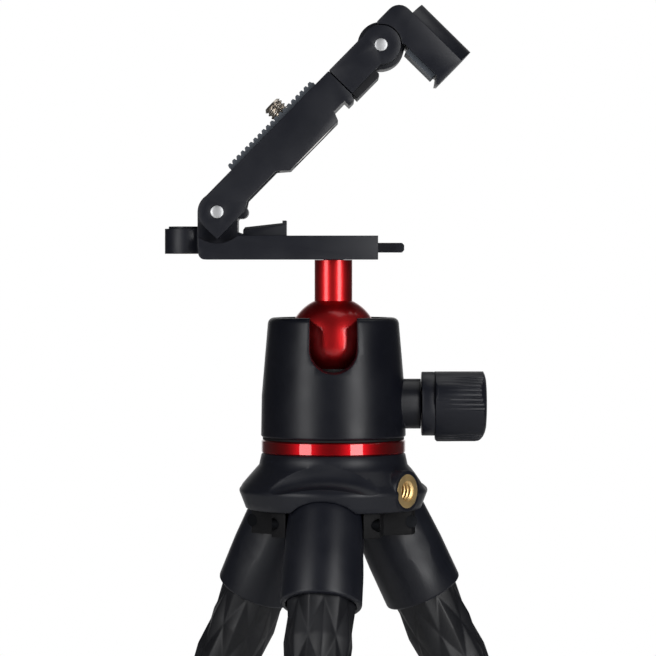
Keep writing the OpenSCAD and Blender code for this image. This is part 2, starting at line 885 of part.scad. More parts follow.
module holder_base() {
    color(satin_black)
        at_axis()
            difference() {
                union() {
                    across(holder_w / 2) base_profile();
                    across(knuckle_half) knuckle_profile();
                    across(wedge_half) wedge_profile();
                    translate([boss_x, 0, boss_z]) {
                        cylinder(h = boss_h, r = boss_d / 2);
                        cylinder(h = boss_h + boss_ring_h, r = boss_d / 2 - 1.2);
                    }
                    translate([boss_x, -boss_d / 2 + 1, boss_z])
                        cube([base_left - boss_x + 2, boss_d - 2, boss_h]);
                }
                translate([0, 0, base_z - over])
                    cylinder(h = base_t - 1 + over, r = base_insert_d / 2 + seat_gap);
                translate([boss_x, 0, boss_z - over])
                    cylinder(h = boss_h + boss_ring_h + 2 * over, r = base_insert_d / 2 + seat_gap);
                translate([tongue_root - seat_gap, -tongue_w / 2 - seat_gap, tongue_z - seat_gap])
                    cube([base_right - tongue_root + over, tongue_w + 2 * seat_gap, tongue_t + 2 * seat_gap]);
                translate([pivot_x, 0, pivot_z]) cross_pin(fold_pin_d / 2 + seat_gap, holder_w);
            }
}

module base_insert() {
    color(brass)
        at_axis()
            translate([0, 0, base_z])
                threaded_insert(base_insert_d / 2, base_t - 1 - seat_gap);
}

module boss_insert() {
    color(brass)
        at_axis()
            translate([boss_x, 0, boss_z])
                threaded_insert(base_insert_d / 2, boss_h + boss_ring_h);
}

module latch_tongue() {
    chamfer = 0.7;
    tip = base_right + tongue_l;
    color(satin_black)
        at_axis()
            across(tongue_w / 2)
                polygon([[tongue_root, tongue_z], [tip - chamfer, tongue_z], [tip, tongue_z + chamfer],
                    [tip, tongue_z + tongue_t - chamfer], [tip - chamfer, tongue_z + tongue_t],
                    [tongue_root, tongue_z + tongue_t]]);
}

module support_pad() {
    lip = 1.2;
    low = base_top + wedge_h / 2;
    high = base_top + wedge_h;
    left = wedge_right - wedge_l;
    color(rubber_black)
        at_axis()
            across(wedge_half)
                polygon([[left, low], [wedge_right, high], [wedge_right, high + wedge_pad_t + 0.3],
                    [wedge_right - lip, high + wedge_pad_t + 0.3],
                    [wedge_right - lip, high + wedge_pad_t / 2],
                    [left + 0.6, low + wedge_pad_t]]);
}

module lower_hinge_pin() {
    color(steel)
        at_axis()
            translate([pivot_x, 0, pivot_z]) cross_pin(fold_pin_d / 2, holder_w / 2 + 0.15);
}

// Folding arm

module arm_profile() {
    half_round = 6;
    bulge_from = screw_at - bulge_l / 2;
    bulge_to = screw_at + bulge_l / 2;
    circle(r = half_round);
    polygon([[-half_round, 0], [-half_round, -half_round], [half_round, -half_round],
        [half_round + 3, -arm_in], [bulge_from - bulge_ramp, -arm_in], [bulge_from, -arm_bulge],
        [bulge_to, -arm_bulge], [bulge_to + 1.2, -arm_in], [channel_end - 3, -arm_in],
        [channel_end - 3, -arm_in - 2], [channel_end - 0.8, -arm_in - 2], [channel_end, -arm_in],
        [channel_end, arm_out], [0, arm_out]]);
}

module arm_channel() {
    reach = arm_bulge + over;
    color(satin_black)
        on_arm()
            difference() {
                across(holder_w / 2) arm_profile();
                // Open fork for the base's knuckle and the support wedge
                translate([-reach, -inner_half, -reach])
                    cube([reach + channel_start, 2 * inner_half, reach + cavity_out]);
                translate([-reach, -inner_half, 0])
                    cube([reach + plate_start, 2 * inner_half, reach]);
                // Channel that the slider runs in
                translate([channel_start - over, -inner_half, cavity_in])
                    cube([channel_end - channel_start + 2 * over, 2 * inner_half, cavity_out - cavity_in]);
                // Bore and disc recess of the camera screw
                translate([screw_at, 0, -arm_bulge - over]) {
                    cylinder(h = arm_bulge + arm_out + 2 * over, r = screw_neck_r + pin_gap);
                    cylinder(h = over + disc_t + run_gap, r = disc_r + run_gap);
                }
                cross_pin(fold_pin_d / 2 + pin_gap, holder_w);
            }
}

module ribbed_pad() {
    root = rib_pad_t * 0.55;
    color(grey_rubber)
        on_arm()
            translate([rib_start, 0, arm_out])
                difference() {
                    across(rib_pad_half)
                        polygon(concat([[0, 0], [0, root]],
                            [for (i = [0:rib_count - 1], p = [[0.2, 1], [0.65, 1], [0.85, 0]])
                                [(i + p[0]) * rib_pitch, p[1] * (rib_pad_t - root) + root]],
                            [[rib_l, root], [rib_l, 0]]));
                    translate([screw_at - rib_start, 0, -over])
                        cylinder(h = rib_pad_t + 2 * over, r = quarter_inch_r + 3 * run_gap);
                }
}

module camera_screw() {
    tip = 0.8;
    color(steel)
        on_arm()
            translate([screw_at, 0, -arm_bulge + run_gap / 2]) {
                shaft_l = arm_bulge - run_gap / 2 + arm_out + screw_up;
                neck_l = shaft_l - screw_up + rib_pad_t + 0.1;
                cylinder(h = disc_t, r = disc_r);
                cylinder(h = neck_l, r = screw_neck_r);
                translate([0, 0, neck_l]) cylinder(h = shaft_l - neck_l - tip, r = quarter_inch_r);
                translate([0, 0, shaft_l - tip])
                    cylinder(h = tip, r1 = quarter_inch_r, r2 = quarter_inch_r - tip);
            }
}

module slider_profile() {
    circle(r = fork_r);
    translate([block_start - arm_l, -arm_in]) square([arm_l - block_start, arm_in + arm_out]);
}

module slider() {
    rail_half = inner_half - 2 * pin_gap;
    rail_low = cavity_in + 2 * pin_gap;
    color(satin_black)
        difference() {
            union() {
                on_jaw() across(holder_w / 2) slider_profile();
                on_arm()
                    translate([tongue_from, -rail_half, rail_low])
                        cube([block_start - tongue_from + over, 2 * rail_half,
                            cavity_out - 4 * pin_gap - cavity_in]);
            }
            // Slot round the camera screw
            on_arm()
                translate([tongue_from - over, -slide_slot_half, -arm_bulge])
                    cube([screw_at - tongue_from + slide_slot_half + over, 2 * slide_slot_half,
                        arm_bulge + arm_out - run_gap]);
            for (side = [-1, 1])
                on_arm()
                    translate([0, side * spring_y, (cavity_in + cavity_out) / 2])
                        along_x(tongue_from - over, channel_end - 2, spring_r + pin_gap);
            // Room for the jaw's knuckle
            on_jaw() {
                cross_pin(knuckle_r + run_gap, inner_half);
                translate([0, -inner_half, -knuckle_r - over])
                    cube([2 * knuckle_r, 2 * inner_half, 2 * (knuckle_r + over)]);
                cross_pin(fold_pin_d / 2 + seat_gap, holder_w);
            }
        }
}

module slider_springs() {
    color(steel)
        for (side = [-1, 1])
            on_arm()
                translate([0, side * spring_y, (cavity_in + cavity_out) / 2])
                    along_x(tongue_from, channel_end - 2, spring_r);
}

module slider_pad() {
    edge = 0.7;
    depth = 2.3;
    color(rubber_black)
        on_arm()
            difference() {
                translate([block_start, 0, -arm_in])
                    across(rib_pad_half)
                        polygon([[0, 0], [0, -depth], [slider_pad_l - edge, -depth],
                            [slider_pad_l, -depth + edge], [slider_pad_l, 0]]);
                translate([arm_l, 0, 0]) cross_pin(knuckle_r + run_gap, rib_pad_half + over);
            }
}

module upper_hinge_pin() {
    color(steel) on_jaw() cross_pin(fold_pin_d / 2, holder_w / 2 + 0.15);
}

// Jaw

module jaw_profile() {
    lip = 2.1;
    out = jaw_face + jaw_t;
    hump = 4.2;
    polygon(concat(
        [[4.3, arm_out]],
        [for (a = [90:-15:0]) [out - hump + hump * cos(a), arm_out - hump + hump * sin(a)]],
        [[out, -jaw_l], [jaw_face - lip + 0.6, -jaw_l], [jaw_face - lip, -jaw_l + 0.6],
            [jaw_face, -jaw_l + lip], [jaw_face, -knuckle_r * 0.7], [2, 0]]));
}

module jaw() {
    color(satin_black)
        on_jaw()
            difference() {
                union() {
                    difference() {
                        across(holder_w / 2) jaw_profile();
                        cross_pin(fork_r + run_gap, holder_w);
                    }
                    cross_pin(knuckle_r, knuckle_half);
                    across(knuckle_half) jaw_profile();
                    intersection() {
                        translate([jaw_face + jaw_t + jaw_back - back_r, 0, -jaw_l])
                            cylinder(h = jaw_l, r = back_r, $fn = 128);
                        translate([jaw_face + jaw_t - 0.01, -holder_w / 2, -jaw_l])
                            cube([jaw_back + over, holder_w, jaw_l]);
                    }
                }
                cross_pin(fold_pin_d / 2 + pin_gap, holder_w);
            }
}

module jaw_pad() {
    from = 6.9;
    to = 18.4;
    color(grey_rubber)
        on_jaw()
            translate([jaw_face - jaw_pad_t, -rib_pad_half, -to])
                cube([jaw_pad_t, 2 * rib_pad_half, to - from]);
}

hub_shell();
leg_yoke();
yoke_screws();
leg_pins();
side_insert();
hub_bolt();
pan_nut();
pan_ring();
pan_washer();
head_body();
ball_retainer();
ball_cup();
clamp_wedge();
ball_stem();
stem_stud();
lock_screw();
knob_collar();
lock_knob();
holder_base();
base_insert();
boss_insert();
latch_tongue();
support_pad();
lower_hinge_pin();
arm_channel();
ribbed_pad();
camera_screw();
slider();
slider_springs();
slider_pad();
upper_hinge_pin();
jaw();
jaw_pad();
sleeve(0);  // sleeve_1
grip(0, 0);  // grip_1a
grip(0, 1);  // grip_1b
grip(0, 2);  // grip_1c
grip(0, 3);  // grip_1d
core(0);  // core_1
foot(0);  // foot_1
sleeve(1);  // sleeve_2
grip(1, 0);  // grip_2a
grip(1, 1);  // grip_2b
grip(1, 2);  // grip_2c
grip(1, 3);  // grip_2d
core(1);  // core_2
foot(1);  // foot_2
sleeve(2);  // sleeve_3
grip(2, 0);  // grip_3a
grip(2, 1);  // grip_3b
grip(2, 2);  // grip_3c
grip(2, 3);  // grip_3d
core(2);  // core_3
foot(2);  // foot_3
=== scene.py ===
"""Dresses the flexible leg tripod: bendable rubber legs, ball head and folding holder.

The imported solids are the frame. This script gives them their finishes, and makes what
bends or is too fine for them: the studded rubber, its core wire and the screw threads.
"""

import json
import logging
import math
from dataclasses import dataclass
from enum import Enum
from typing import Any

import bmesh
import bpy
from mathutils import Matrix, Vector


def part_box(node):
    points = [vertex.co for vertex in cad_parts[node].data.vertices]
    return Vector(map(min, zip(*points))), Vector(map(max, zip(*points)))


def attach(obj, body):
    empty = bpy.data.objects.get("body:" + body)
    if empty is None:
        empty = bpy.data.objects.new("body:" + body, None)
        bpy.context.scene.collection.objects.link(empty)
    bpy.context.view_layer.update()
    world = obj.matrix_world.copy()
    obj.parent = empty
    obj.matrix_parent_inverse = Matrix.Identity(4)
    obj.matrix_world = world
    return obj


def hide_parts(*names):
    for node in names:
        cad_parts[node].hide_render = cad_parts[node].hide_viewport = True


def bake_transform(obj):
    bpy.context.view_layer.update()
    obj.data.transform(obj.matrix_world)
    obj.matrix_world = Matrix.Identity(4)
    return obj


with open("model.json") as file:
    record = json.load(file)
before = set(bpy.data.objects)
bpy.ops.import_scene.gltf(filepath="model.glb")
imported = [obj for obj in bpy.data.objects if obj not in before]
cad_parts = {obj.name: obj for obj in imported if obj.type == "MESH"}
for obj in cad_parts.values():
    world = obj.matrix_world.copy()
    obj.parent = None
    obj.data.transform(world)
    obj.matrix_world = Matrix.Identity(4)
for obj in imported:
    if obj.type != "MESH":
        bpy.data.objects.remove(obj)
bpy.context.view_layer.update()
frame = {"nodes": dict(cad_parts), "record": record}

log = logging.getLogger("tripod")

MM = 0.001
INCH = 25.4 * MM
LEG_COUNT = 3


class Axis(Enum):
    """The direction that a lathe's tool marks run round, as a component of Object coordinates."""

    X = 0
    Y = 1
    Z = 2


class ThreadSide(Enum):
    """Whether a thread stands on a rod or inside a bore."""

    ROD = 1.0
    BORE = -1.0


def linear(hex_colour: str) -> tuple[float, float, float, float]:
    """Turns an sRGB hex colour into a linear one.

    Args:
        hex_colour: The colour as "#rrggbb".

    Returns:
        Linear red, green and blue with an alpha of 1.
    """
    values = [int(hex_colour[i : i + 2], 16) / 255 for i in (1, 3, 5)]
    rgb = [v / 12.92 if v <= 0.04045 else ((v + 0.055) / 1.055) ** 2.4 for v in values]
    return (rgb[0], rgb[1], rgb[2], 1.0)


def add_node(
    tree: bpy.types.NodeTree, kind: str, inputs: dict[Any, Any] | None = None, **settings: Any
) -> bpy.types.Node:
    """Adds one node to a tree, sets it and links it.

    Args:
        tree: The material, world or geometry tree.
        kind: Blender's name for the node's type.
        inputs: Values or sockets for the node's inputs, by name or number.
        settings: Properties of the node itself.

    Returns:
        The new node.
    """
    node = tree.nodes.new(kind)
    for key, value in settings.items():
        setattr(node, key, value)
    for key, value in (inputs or {}).items():
        if isinstance(value, bpy.types.NodeSocket):
            tree.links.new(value, node.inputs[key])
        else:
            node.inputs[key].default_value = value
    return node


@dataclass(frozen=True)
class Finish:
    """A real material with the way its surface was made.

    Attributes:
        name: The material's common name and making.
        colour: Its main colour, as sRGB hex.
        shade: A second colour that it drifts to in large soft patches.
        roughness: Middle roughness.
        drift: How far the roughness drifts from patch to patch.
        metallic: 1 for bare or anodised metal.
        specular: Specular level of the top surface.
        grain_mm: Width of one grain of the surface.
        grain_depth_mm: Height of the grain.
        patch_mm: Width of the soft patches.
        edge_mm: Radius that broken edges catch the light with, 0 where the mesh has its own.
        coat: Weight of a clear layer.
        coat_roughness: Roughness of that layer.
    """

    name: str
    colour: str
    shade: str
    roughness: float
    drift: float = 0.06
    metallic: float = 0.0
    specular: float = 0.5
    grain_mm: float = 0.35
    grain_depth_mm: float = 0.01
    patch_mm: float = 14.0
    edge_mm: float = 0.3
    coat: float = 0.0
    coat_roughness: float = 0.1

    def material(self) -> bpy.types.Material:
        """Returns the finish as a material, built once."""
        ready = bpy.data.materials.get(self.name)
        if ready:
            return ready
        made = bpy.data.materials.new(self.name)
        made.use_nodes = True
        tree = made.node_tree
        tree.nodes.clear()
        place = add_node(tree, "ShaderNodeTexCoord").outputs["Object"]
        patch = add_node(
            tree, "ShaderNodeTexNoise",
            {"Vector": place, "Scale": 1 / (self.patch_mm * MM), "Detail": 3.0, "Roughness": 0.55},
        ).outputs["Fac"]
        colour = add_node(
            tree, "ShaderNodeMix",
            {"Factor": patch, "A": linear(self.colour), "B": linear(self.shade)},
            data_type="RGBA",
        ).outputs["Result"]
        rough = add_node(
            tree, "ShaderNodeMapRange",
            {"Value": patch, "From Min": 0.3, "From Max": 0.7,
             "To Min": self.roughness - self.drift, "To Max": self.roughness + self.drift},
        ).outputs["Result"]
        shader = add_node(
            tree, "ShaderNodeBsdfPrincipled",
            {"Base Color": colour, "Roughness": rough, "Normal": self.relief(tree, place),
             "Metallic": self.metallic, "Specular IOR Level": self.specular,
             "Coat Weight": self.coat, "Coat Roughness": self.coat_roughness},
        )
        add_node(tree, "ShaderNodeOutputMaterial", {"Surface": shader.outputs["BSDF"]})
        return made

    def relief(self, tree: bpy.types.NodeTree, place: bpy.types.NodeSocket) -> bpy.types.NodeSocket:
        """Adds the surface's grain on top of its softened edges.

        Args:
            tree: The material's tree.
            place: Object coordinates.

        Returns:
            The normal for the shader.
        """
        grain = add_node(
            tree, "ShaderNodeTexNoise",
            {"Vector": place, "Scale": 1 / (self.grain_mm * MM), "Detail": 2.0, "Roughness": 0.5},
        )
        bump = add_node(
            tree, "ShaderNodeBump",
            {"Height": grain.outputs["Fac"], "Strength": 0.6, "Distance": self.grain_depth_mm * MM},
        )
        self.soften(tree, bump)
        return bump.outputs["Normal"]

    def soften(self, tree: bpy.types.NodeTree, bump: bpy.types.Node) -> None:
        """Rounds sharp edges in the light below a bump, where the finish asks for it."""
        if self.edge_mm > 0:
            edge = add_node(tree, "ShaderNodeBevel", {"Radius": self.edge_mm * MM}, samples=6)
            tree.links.new(edge.outputs["Normal"], bump.inputs["Normal"])


@dataclass(frozen=True)
class TurnedFinish(Finish):
    """A metal turned on a lathe, with tool marks round its axis.

    Attributes:
        axis: The lathe's axis.
        pitch_mm: Distance between two tool marks, drawn coarse enough to show.
        mark_depth_mm: Depth of a tool mark.
    """

    axis: Axis = Axis.Z
    pitch_mm: float = 0.45
    mark_depth_mm: float = 0.004

    def relief(self, tree: bpy.types.NodeTree, place: bpy.types.NodeSocket) -> bpy.types.NodeSocket:
        """Adds the tool marks on top of the softened edges.

        Args:
            tree: The material's tree.
            place: Object coordinates.

        Returns:
            The normal for the shader.
        """
        along = add_node(tree, "ShaderNodeSeparateXYZ", {"Vector": place}).outputs[self.axis.value]
        marks = add_node(
            tree, "ShaderNodeTexNoise",
            {"W": along, "Scale": 1 / (self.pitch_mm * MM), "Detail": 2.0, "Roughness": 0.6},
            noise_dimensions="1D",
        )
        bump = add_node(
            tree, "ShaderNodeBump",
            {"Height": marks.outputs["Fac"], "Strength": 0.5, "Distance": self.mark_depth_mm * MM},
        )
        self.soften(tree, bump)
        return bump.outputs["Normal"]


# Spark-eroded ABS moulding: dark, faintly blue, with a fine even grain and a soft sheen.
MOULDED_ABS = Finish(
    name="abs_moulded_satin_black", colour="#0b0d15", shade="#10121a", roughness=0.42,
    specular=0.32, grain_mm=0.3, grain_depth_mm=0.012,
)
# Coated alloy casting: smoother than the mouldings, so its two lights are narrower.
COATED_ALLOY = Finish(
    name="alloy_coated_satin_black", colour="#0a0b12", shade="#0d0f16", roughness=0.37,
    specular=0.25, grain_mm=0.25, grain_depth_mm=0.008, edge_mm=0.5,
)
# Black acetal of the cup under the ball: dull and dark, so it falls back in the notch.
BLACK_ACETAL = Finish(
    name="acetal_machined_black", colour="#0d0d0f", shade="#111113", roughness=0.5, grain_mm=0.2,
)
# Anodised aluminium turned on a lathe: clear red metal under a satin layer that takes pale bands.
RED_ANODISED = TurnedFinish(
    name="aluminium_anodised_red", colour="#c82024", shade="#be1b1f", roughness=0.4,
    drift=0.03, metallic=1.0, edge_mm=0.25, coat=0.7, coat_roughness=0.16,
)
# Diamond-cut anodised ring: a clear glassy layer over softer red metal, with crisp pale lights.
RED_BRIGHT = TurnedFinish(
    name="aluminium_bright_cut_red", colour="#a20b13", shade="#980911", roughness=0.38,
    drift=0.02, metallic=1.0, edge_mm=0.15, pitch_mm=0.9, mark_depth_mm=0.0006,
    coat=1.0, coat_roughness=0.03,
)
# Turned steel of the hinge pins: bright, with faint rings.
TURNED_STEEL = TurnedFinish(
    name="steel_turned_bright", colour="#c2c3c5", shade="#a6a7a9", roughness=0.5,
    metallic=1.0, edge_mm=0.0, axis=Axis.Y, pitch_mm=0.3, patch_mm=3.0,
)
# Nickel-plated steel of the camera screw: slightly warm, smooth enough for clear thread lines.
NICKEL_PLATE = Finish(
    name="steel_nickel_plated", colour="#c4bdb4", shade="#b5ada3", roughness=0.26,
    metallic=1.0, edge_mm=0.0, grain_mm=0.2, grain_depth_mm=0.001, patch_mm=4.0,
)
# Black-oxide steel of the small screws and leg pins: dark metal with a dull shine.
BLACK_OXIDE = Finish(
    name="steel_black_oxide", colour="#17181a", shade="#121315", roughness=0.55,
    metallic=1.0, edge_mm=0.1, grain_mm=0.2, grain_depth_mm=0.004, patch_mm=5.0,
)
# Turned brass inserts, a little dulled.
TURNED_BRASS = Finish(
    name="brass_turned", colour="#f6d9a0", shade="#e6c384", roughness=0.46,
    metallic=1.0, edge_mm=0.12, grain_mm=0.5, grain_depth_mm=0.004, patch_mm=3.0,
)
# Moulded rubber of the legs: matt, with a dry grain and a dusty drift of colour.
LEG_RUBBER = Finish(
    name="rubber_moulded_matt_black", colour="#0b0c0f", shade="#121318", roughness=0.48,
    specular=0.36, grain_mm=0.4, grain_depth_mm=0.02, patch_mm=9.0, edge_mm=0.2,
)
# Blue-grey silicone of the holder's pads.
GREY_SILICONE = Finish(
    name="silicone_blue_grey", colour="#383d43", shade="#41464d", roughness=0.6,
    specular=0.35, grain_mm=0.3, grain_depth_mm=0.015, edge_mm=0.2,
)
# Nylon washer under the head: black and dull as painted shade, so the groove above the red ring stays dark.
NYLON_PAINTED_SHADE_BLACK = Finish(
    name="nylon_black_painted_shade", colour="#08080a", shade="#0b0b0d", roughness=0.6, specular=0.2,
)
# ABS yoke under the hub: darker and duller than the outside mouldings as painted shade, so its ears stay in
# shadow.
SHADE_DARKENED_ABS = Finish(
    name="abs_moulded_black_painted_shade", colour="#08080a", shade="#0c0c0e", roughness=0.62,
    specular=0.16, grain_mm=0.4, grain_depth_mm=0.02,
)
# Soft aluminium wire inside the legs.
SOFT_WIRE = Finish(
    name="aluminium_soft_wire", colour="#c3c5c7", shade="#b4b6b8", roughness=0.35, metallic=1.0,
)


def joint_named(name: str) -> dict[str, Any]:
    """Returns the record's joint of that name."""
    joints = frame["record"]["behaviour"]["joints"]
    return next(j for j in joints if j["name"] == name)


def mount_named(name: str) -> dict[str, Any]:
    """Returns the record's mount of that name."""
    return next(m for m in frame["record"]["mounts"] if m["name"] == name)


def new_tree(name: str, sizes: dict[str, float]) -> tuple[bpy.types.NodeTree, bpy.types.Node]:
    """Starts a Geometry Nodes tree with named sizes as its inputs.

    Args:
        name: The tree's name.
        sizes: Default value of each input, by name.

    Returns:
        The tree and its input node.
    """
    tree = bpy.data.node_groups.new(name, "GeometryNodeTree")
    for label, value in sizes.items():
        socket = tree.interface.new_socket(label, in_out="INPUT", socket_type="NodeSocketFloat")
        socket.default_value = value
    tree.interface.new_socket("Geometry", in_out="OUTPUT", socket_type="NodeSocketGeometry")
    return tree, add_node(tree, "NodeGroupInput")


def grown(name: str, tree: bpy.types.NodeTree, sizes: dict[str, float], place: Matrix) -> bpy.types.Object:
    """Runs a Geometry Nodes tree once and keeps its result as a plain mesh.

    Args:
        name: Name of the new piece.
        tree: The tree to run.
        sizes: Values for the tree's inputs, by name.
        place: Where the result goes in the part's frame.

    Returns:
        The piece, at the origin with its place in its mesh.
    """
    seed = bpy.data.objects.new(name + "_seed", bpy.data.meshes.new(name + "_seed"))
    bpy.context.scene.collection.objects.link(seed)
    modifier = seed.modifiers.new("grow", "NODES")
    modifier.node_group = tree
    for item in tree.interface.items_tree:
        if item.in_out == "INPUT" and item.name in sizes:
            modifier[item.identifier] = float(sizes[item.name])
    seed.update_tag()
    graph = bpy.context.evaluated_depsgraph_get()
    mesh = bpy.data.meshes.new_from_object(seed.evaluated_get(graph))
    seed.modifiers.remove(modifier)
    bpy.data.objects.remove(seed)
    mesh.transform(place)
    return shown(name, mesh)


def shown(name: str, mesh: bpy.types.Mesh) -> bpy.types.Object:
    """Links a mesh into the scene as a smooth piece.

    Args:
        name: Name of the piece.
        mesh: Its mesh, in the part's frame.

    Returns:
        The new object.
    """
    piece = bpy.data.objects.new(name, mesh)
    bpy.context.scene.collection.objects.link(piece)
    mesh.shade_smooth()
    return piece


def lathed(name: str, outline: list[tuple[float, float]], place: Matrix, steps: int = 72) -> bpy.types.Object:
    """Turns a closed outline about local Z.

    Args:
        name: Name of the piece.
        outline: Radius and height of each point, from the axis to the axis or round to the first point.
        place: Where the result goes in the part's frame.
        steps: Number of faces around.

    Returns:
        The turned piece.
    """
    bm = bmesh.new()
    rings = []
    for radius, height in outline:
        if radius < 1e-9:
            rings.append([bm.verts.new((0, 0, height))])
        else:
            turn = [2 * math.pi * k / steps for k in range(steps)]
            rings.append([bm.verts.new((radius * math.cos(a), radius * math.sin(a), height)) for a in turn])
    for low, high in zip(rings, rings[1:]):
        for k in range(steps):
            following = (k + 1) % steps
            corners = [low[k % len(low)], low[following % len(low)],
                       high[following % len(high)], high[k % len(high)]]
            unique = list(dict.fromkeys(corners))
            if len(unique) > 2:
                bm.faces.new(unique)
    bmesh.ops.remove_doubles(bm, verts=bm.verts, dist=1e-7)
    bmesh.ops.recalc_face_normals(bm, faces=bm.faces)
    mesh = bpy.data.meshes.new(name)
    bm.to_mesh(mesh)
    bm.free()
    mesh.transform(place)
    piece = shown(name, mesh)
    mesh.set_sharp_from_angle(angle=math.radians(32))
    return piece


def dress(piece: bpy.types.Object, finish: Finish) -> None:
    """Gives a new piece its finish."""
    piece.data.materials.clear()
    piece.data.materials.append(finish.material())


def dress_nodes(finishes: dict[str, Finish]) -> None:
    """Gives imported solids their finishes.

    Args:
        finishes: The finish of each node, by the node's name.
    """
    for name, finish in finishes.items():
        for material_slot in frame["nodes"][name].material_slots:
            material_slot.material = finish.material()
        log.info("dressed %s as %s", name, finish.name)


@dataclass(frozen=True)
class SoftEdges:
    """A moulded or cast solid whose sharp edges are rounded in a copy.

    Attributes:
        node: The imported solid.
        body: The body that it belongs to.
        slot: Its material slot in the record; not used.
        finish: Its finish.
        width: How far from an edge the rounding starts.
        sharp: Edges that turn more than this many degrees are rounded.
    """

    node: str
    body: str
    slot: str
    finish: Finish
    width: float = 0.35 * MM
    sharp: float = 40.0

    def build(self) -> None:
        """Puts the rounded copy in the solid's place, or dresses the solid where rounding fails."""
        solid = frame["nodes"][self.node]
        bm = bmesh.new()
        bm.from_mesh(solid.data)
        bm.transform(solid.matrix_world)
        bmesh.ops.remove_doubles(bm, verts=bm.verts, dist=0.001 * MM)
        before = bm.calc_volume(signed=True)
        bmesh.ops.dissolve_limit(bm, angle_limit=math.radians(0.6), verts=bm.verts, edges=bm.edges)
        limit = math.radians(self.sharp)
        edges = [e for e in bm.edges if e.is_manifold and e.calc_face_angle() > limit]
        bmesh.ops.bevel(bm, geom=edges, offset=self.width, offset_type="OFFSET", segments=2,
                        profile=0.5, affect="EDGES", clamp_overlap=True)
        bmesh.ops.triangulate(bm, faces=[f for f in bm.faces if len(f.verts) > 4])
        after = bm.calc_volume(signed=True)
        whole = all(e.is_manifold for e in bm.edges)
        mesh = bpy.data.meshes.new(self.node + "_soft")
        bm.to_mesh(mesh)
        bm.free()
        if not whole or before <= 0 or abs(after / before - 1) > 0.02:
            log.info("%s keeps its plain edges", self.node)
            bpy.data.meshes.remove(mesh)
            dress_nodes({self.node: self.finish})
            return
        piece = shown(self.node + "_soft", mesh)
        mesh.set_sharp_from_angle(angle=math.radians(30))
        dress(piece, self.finish)
        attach(piece, self.body)
        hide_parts(self.node)
        log.info("%s has soft edges, volume %.4f of the solid's", self.node, after / before)


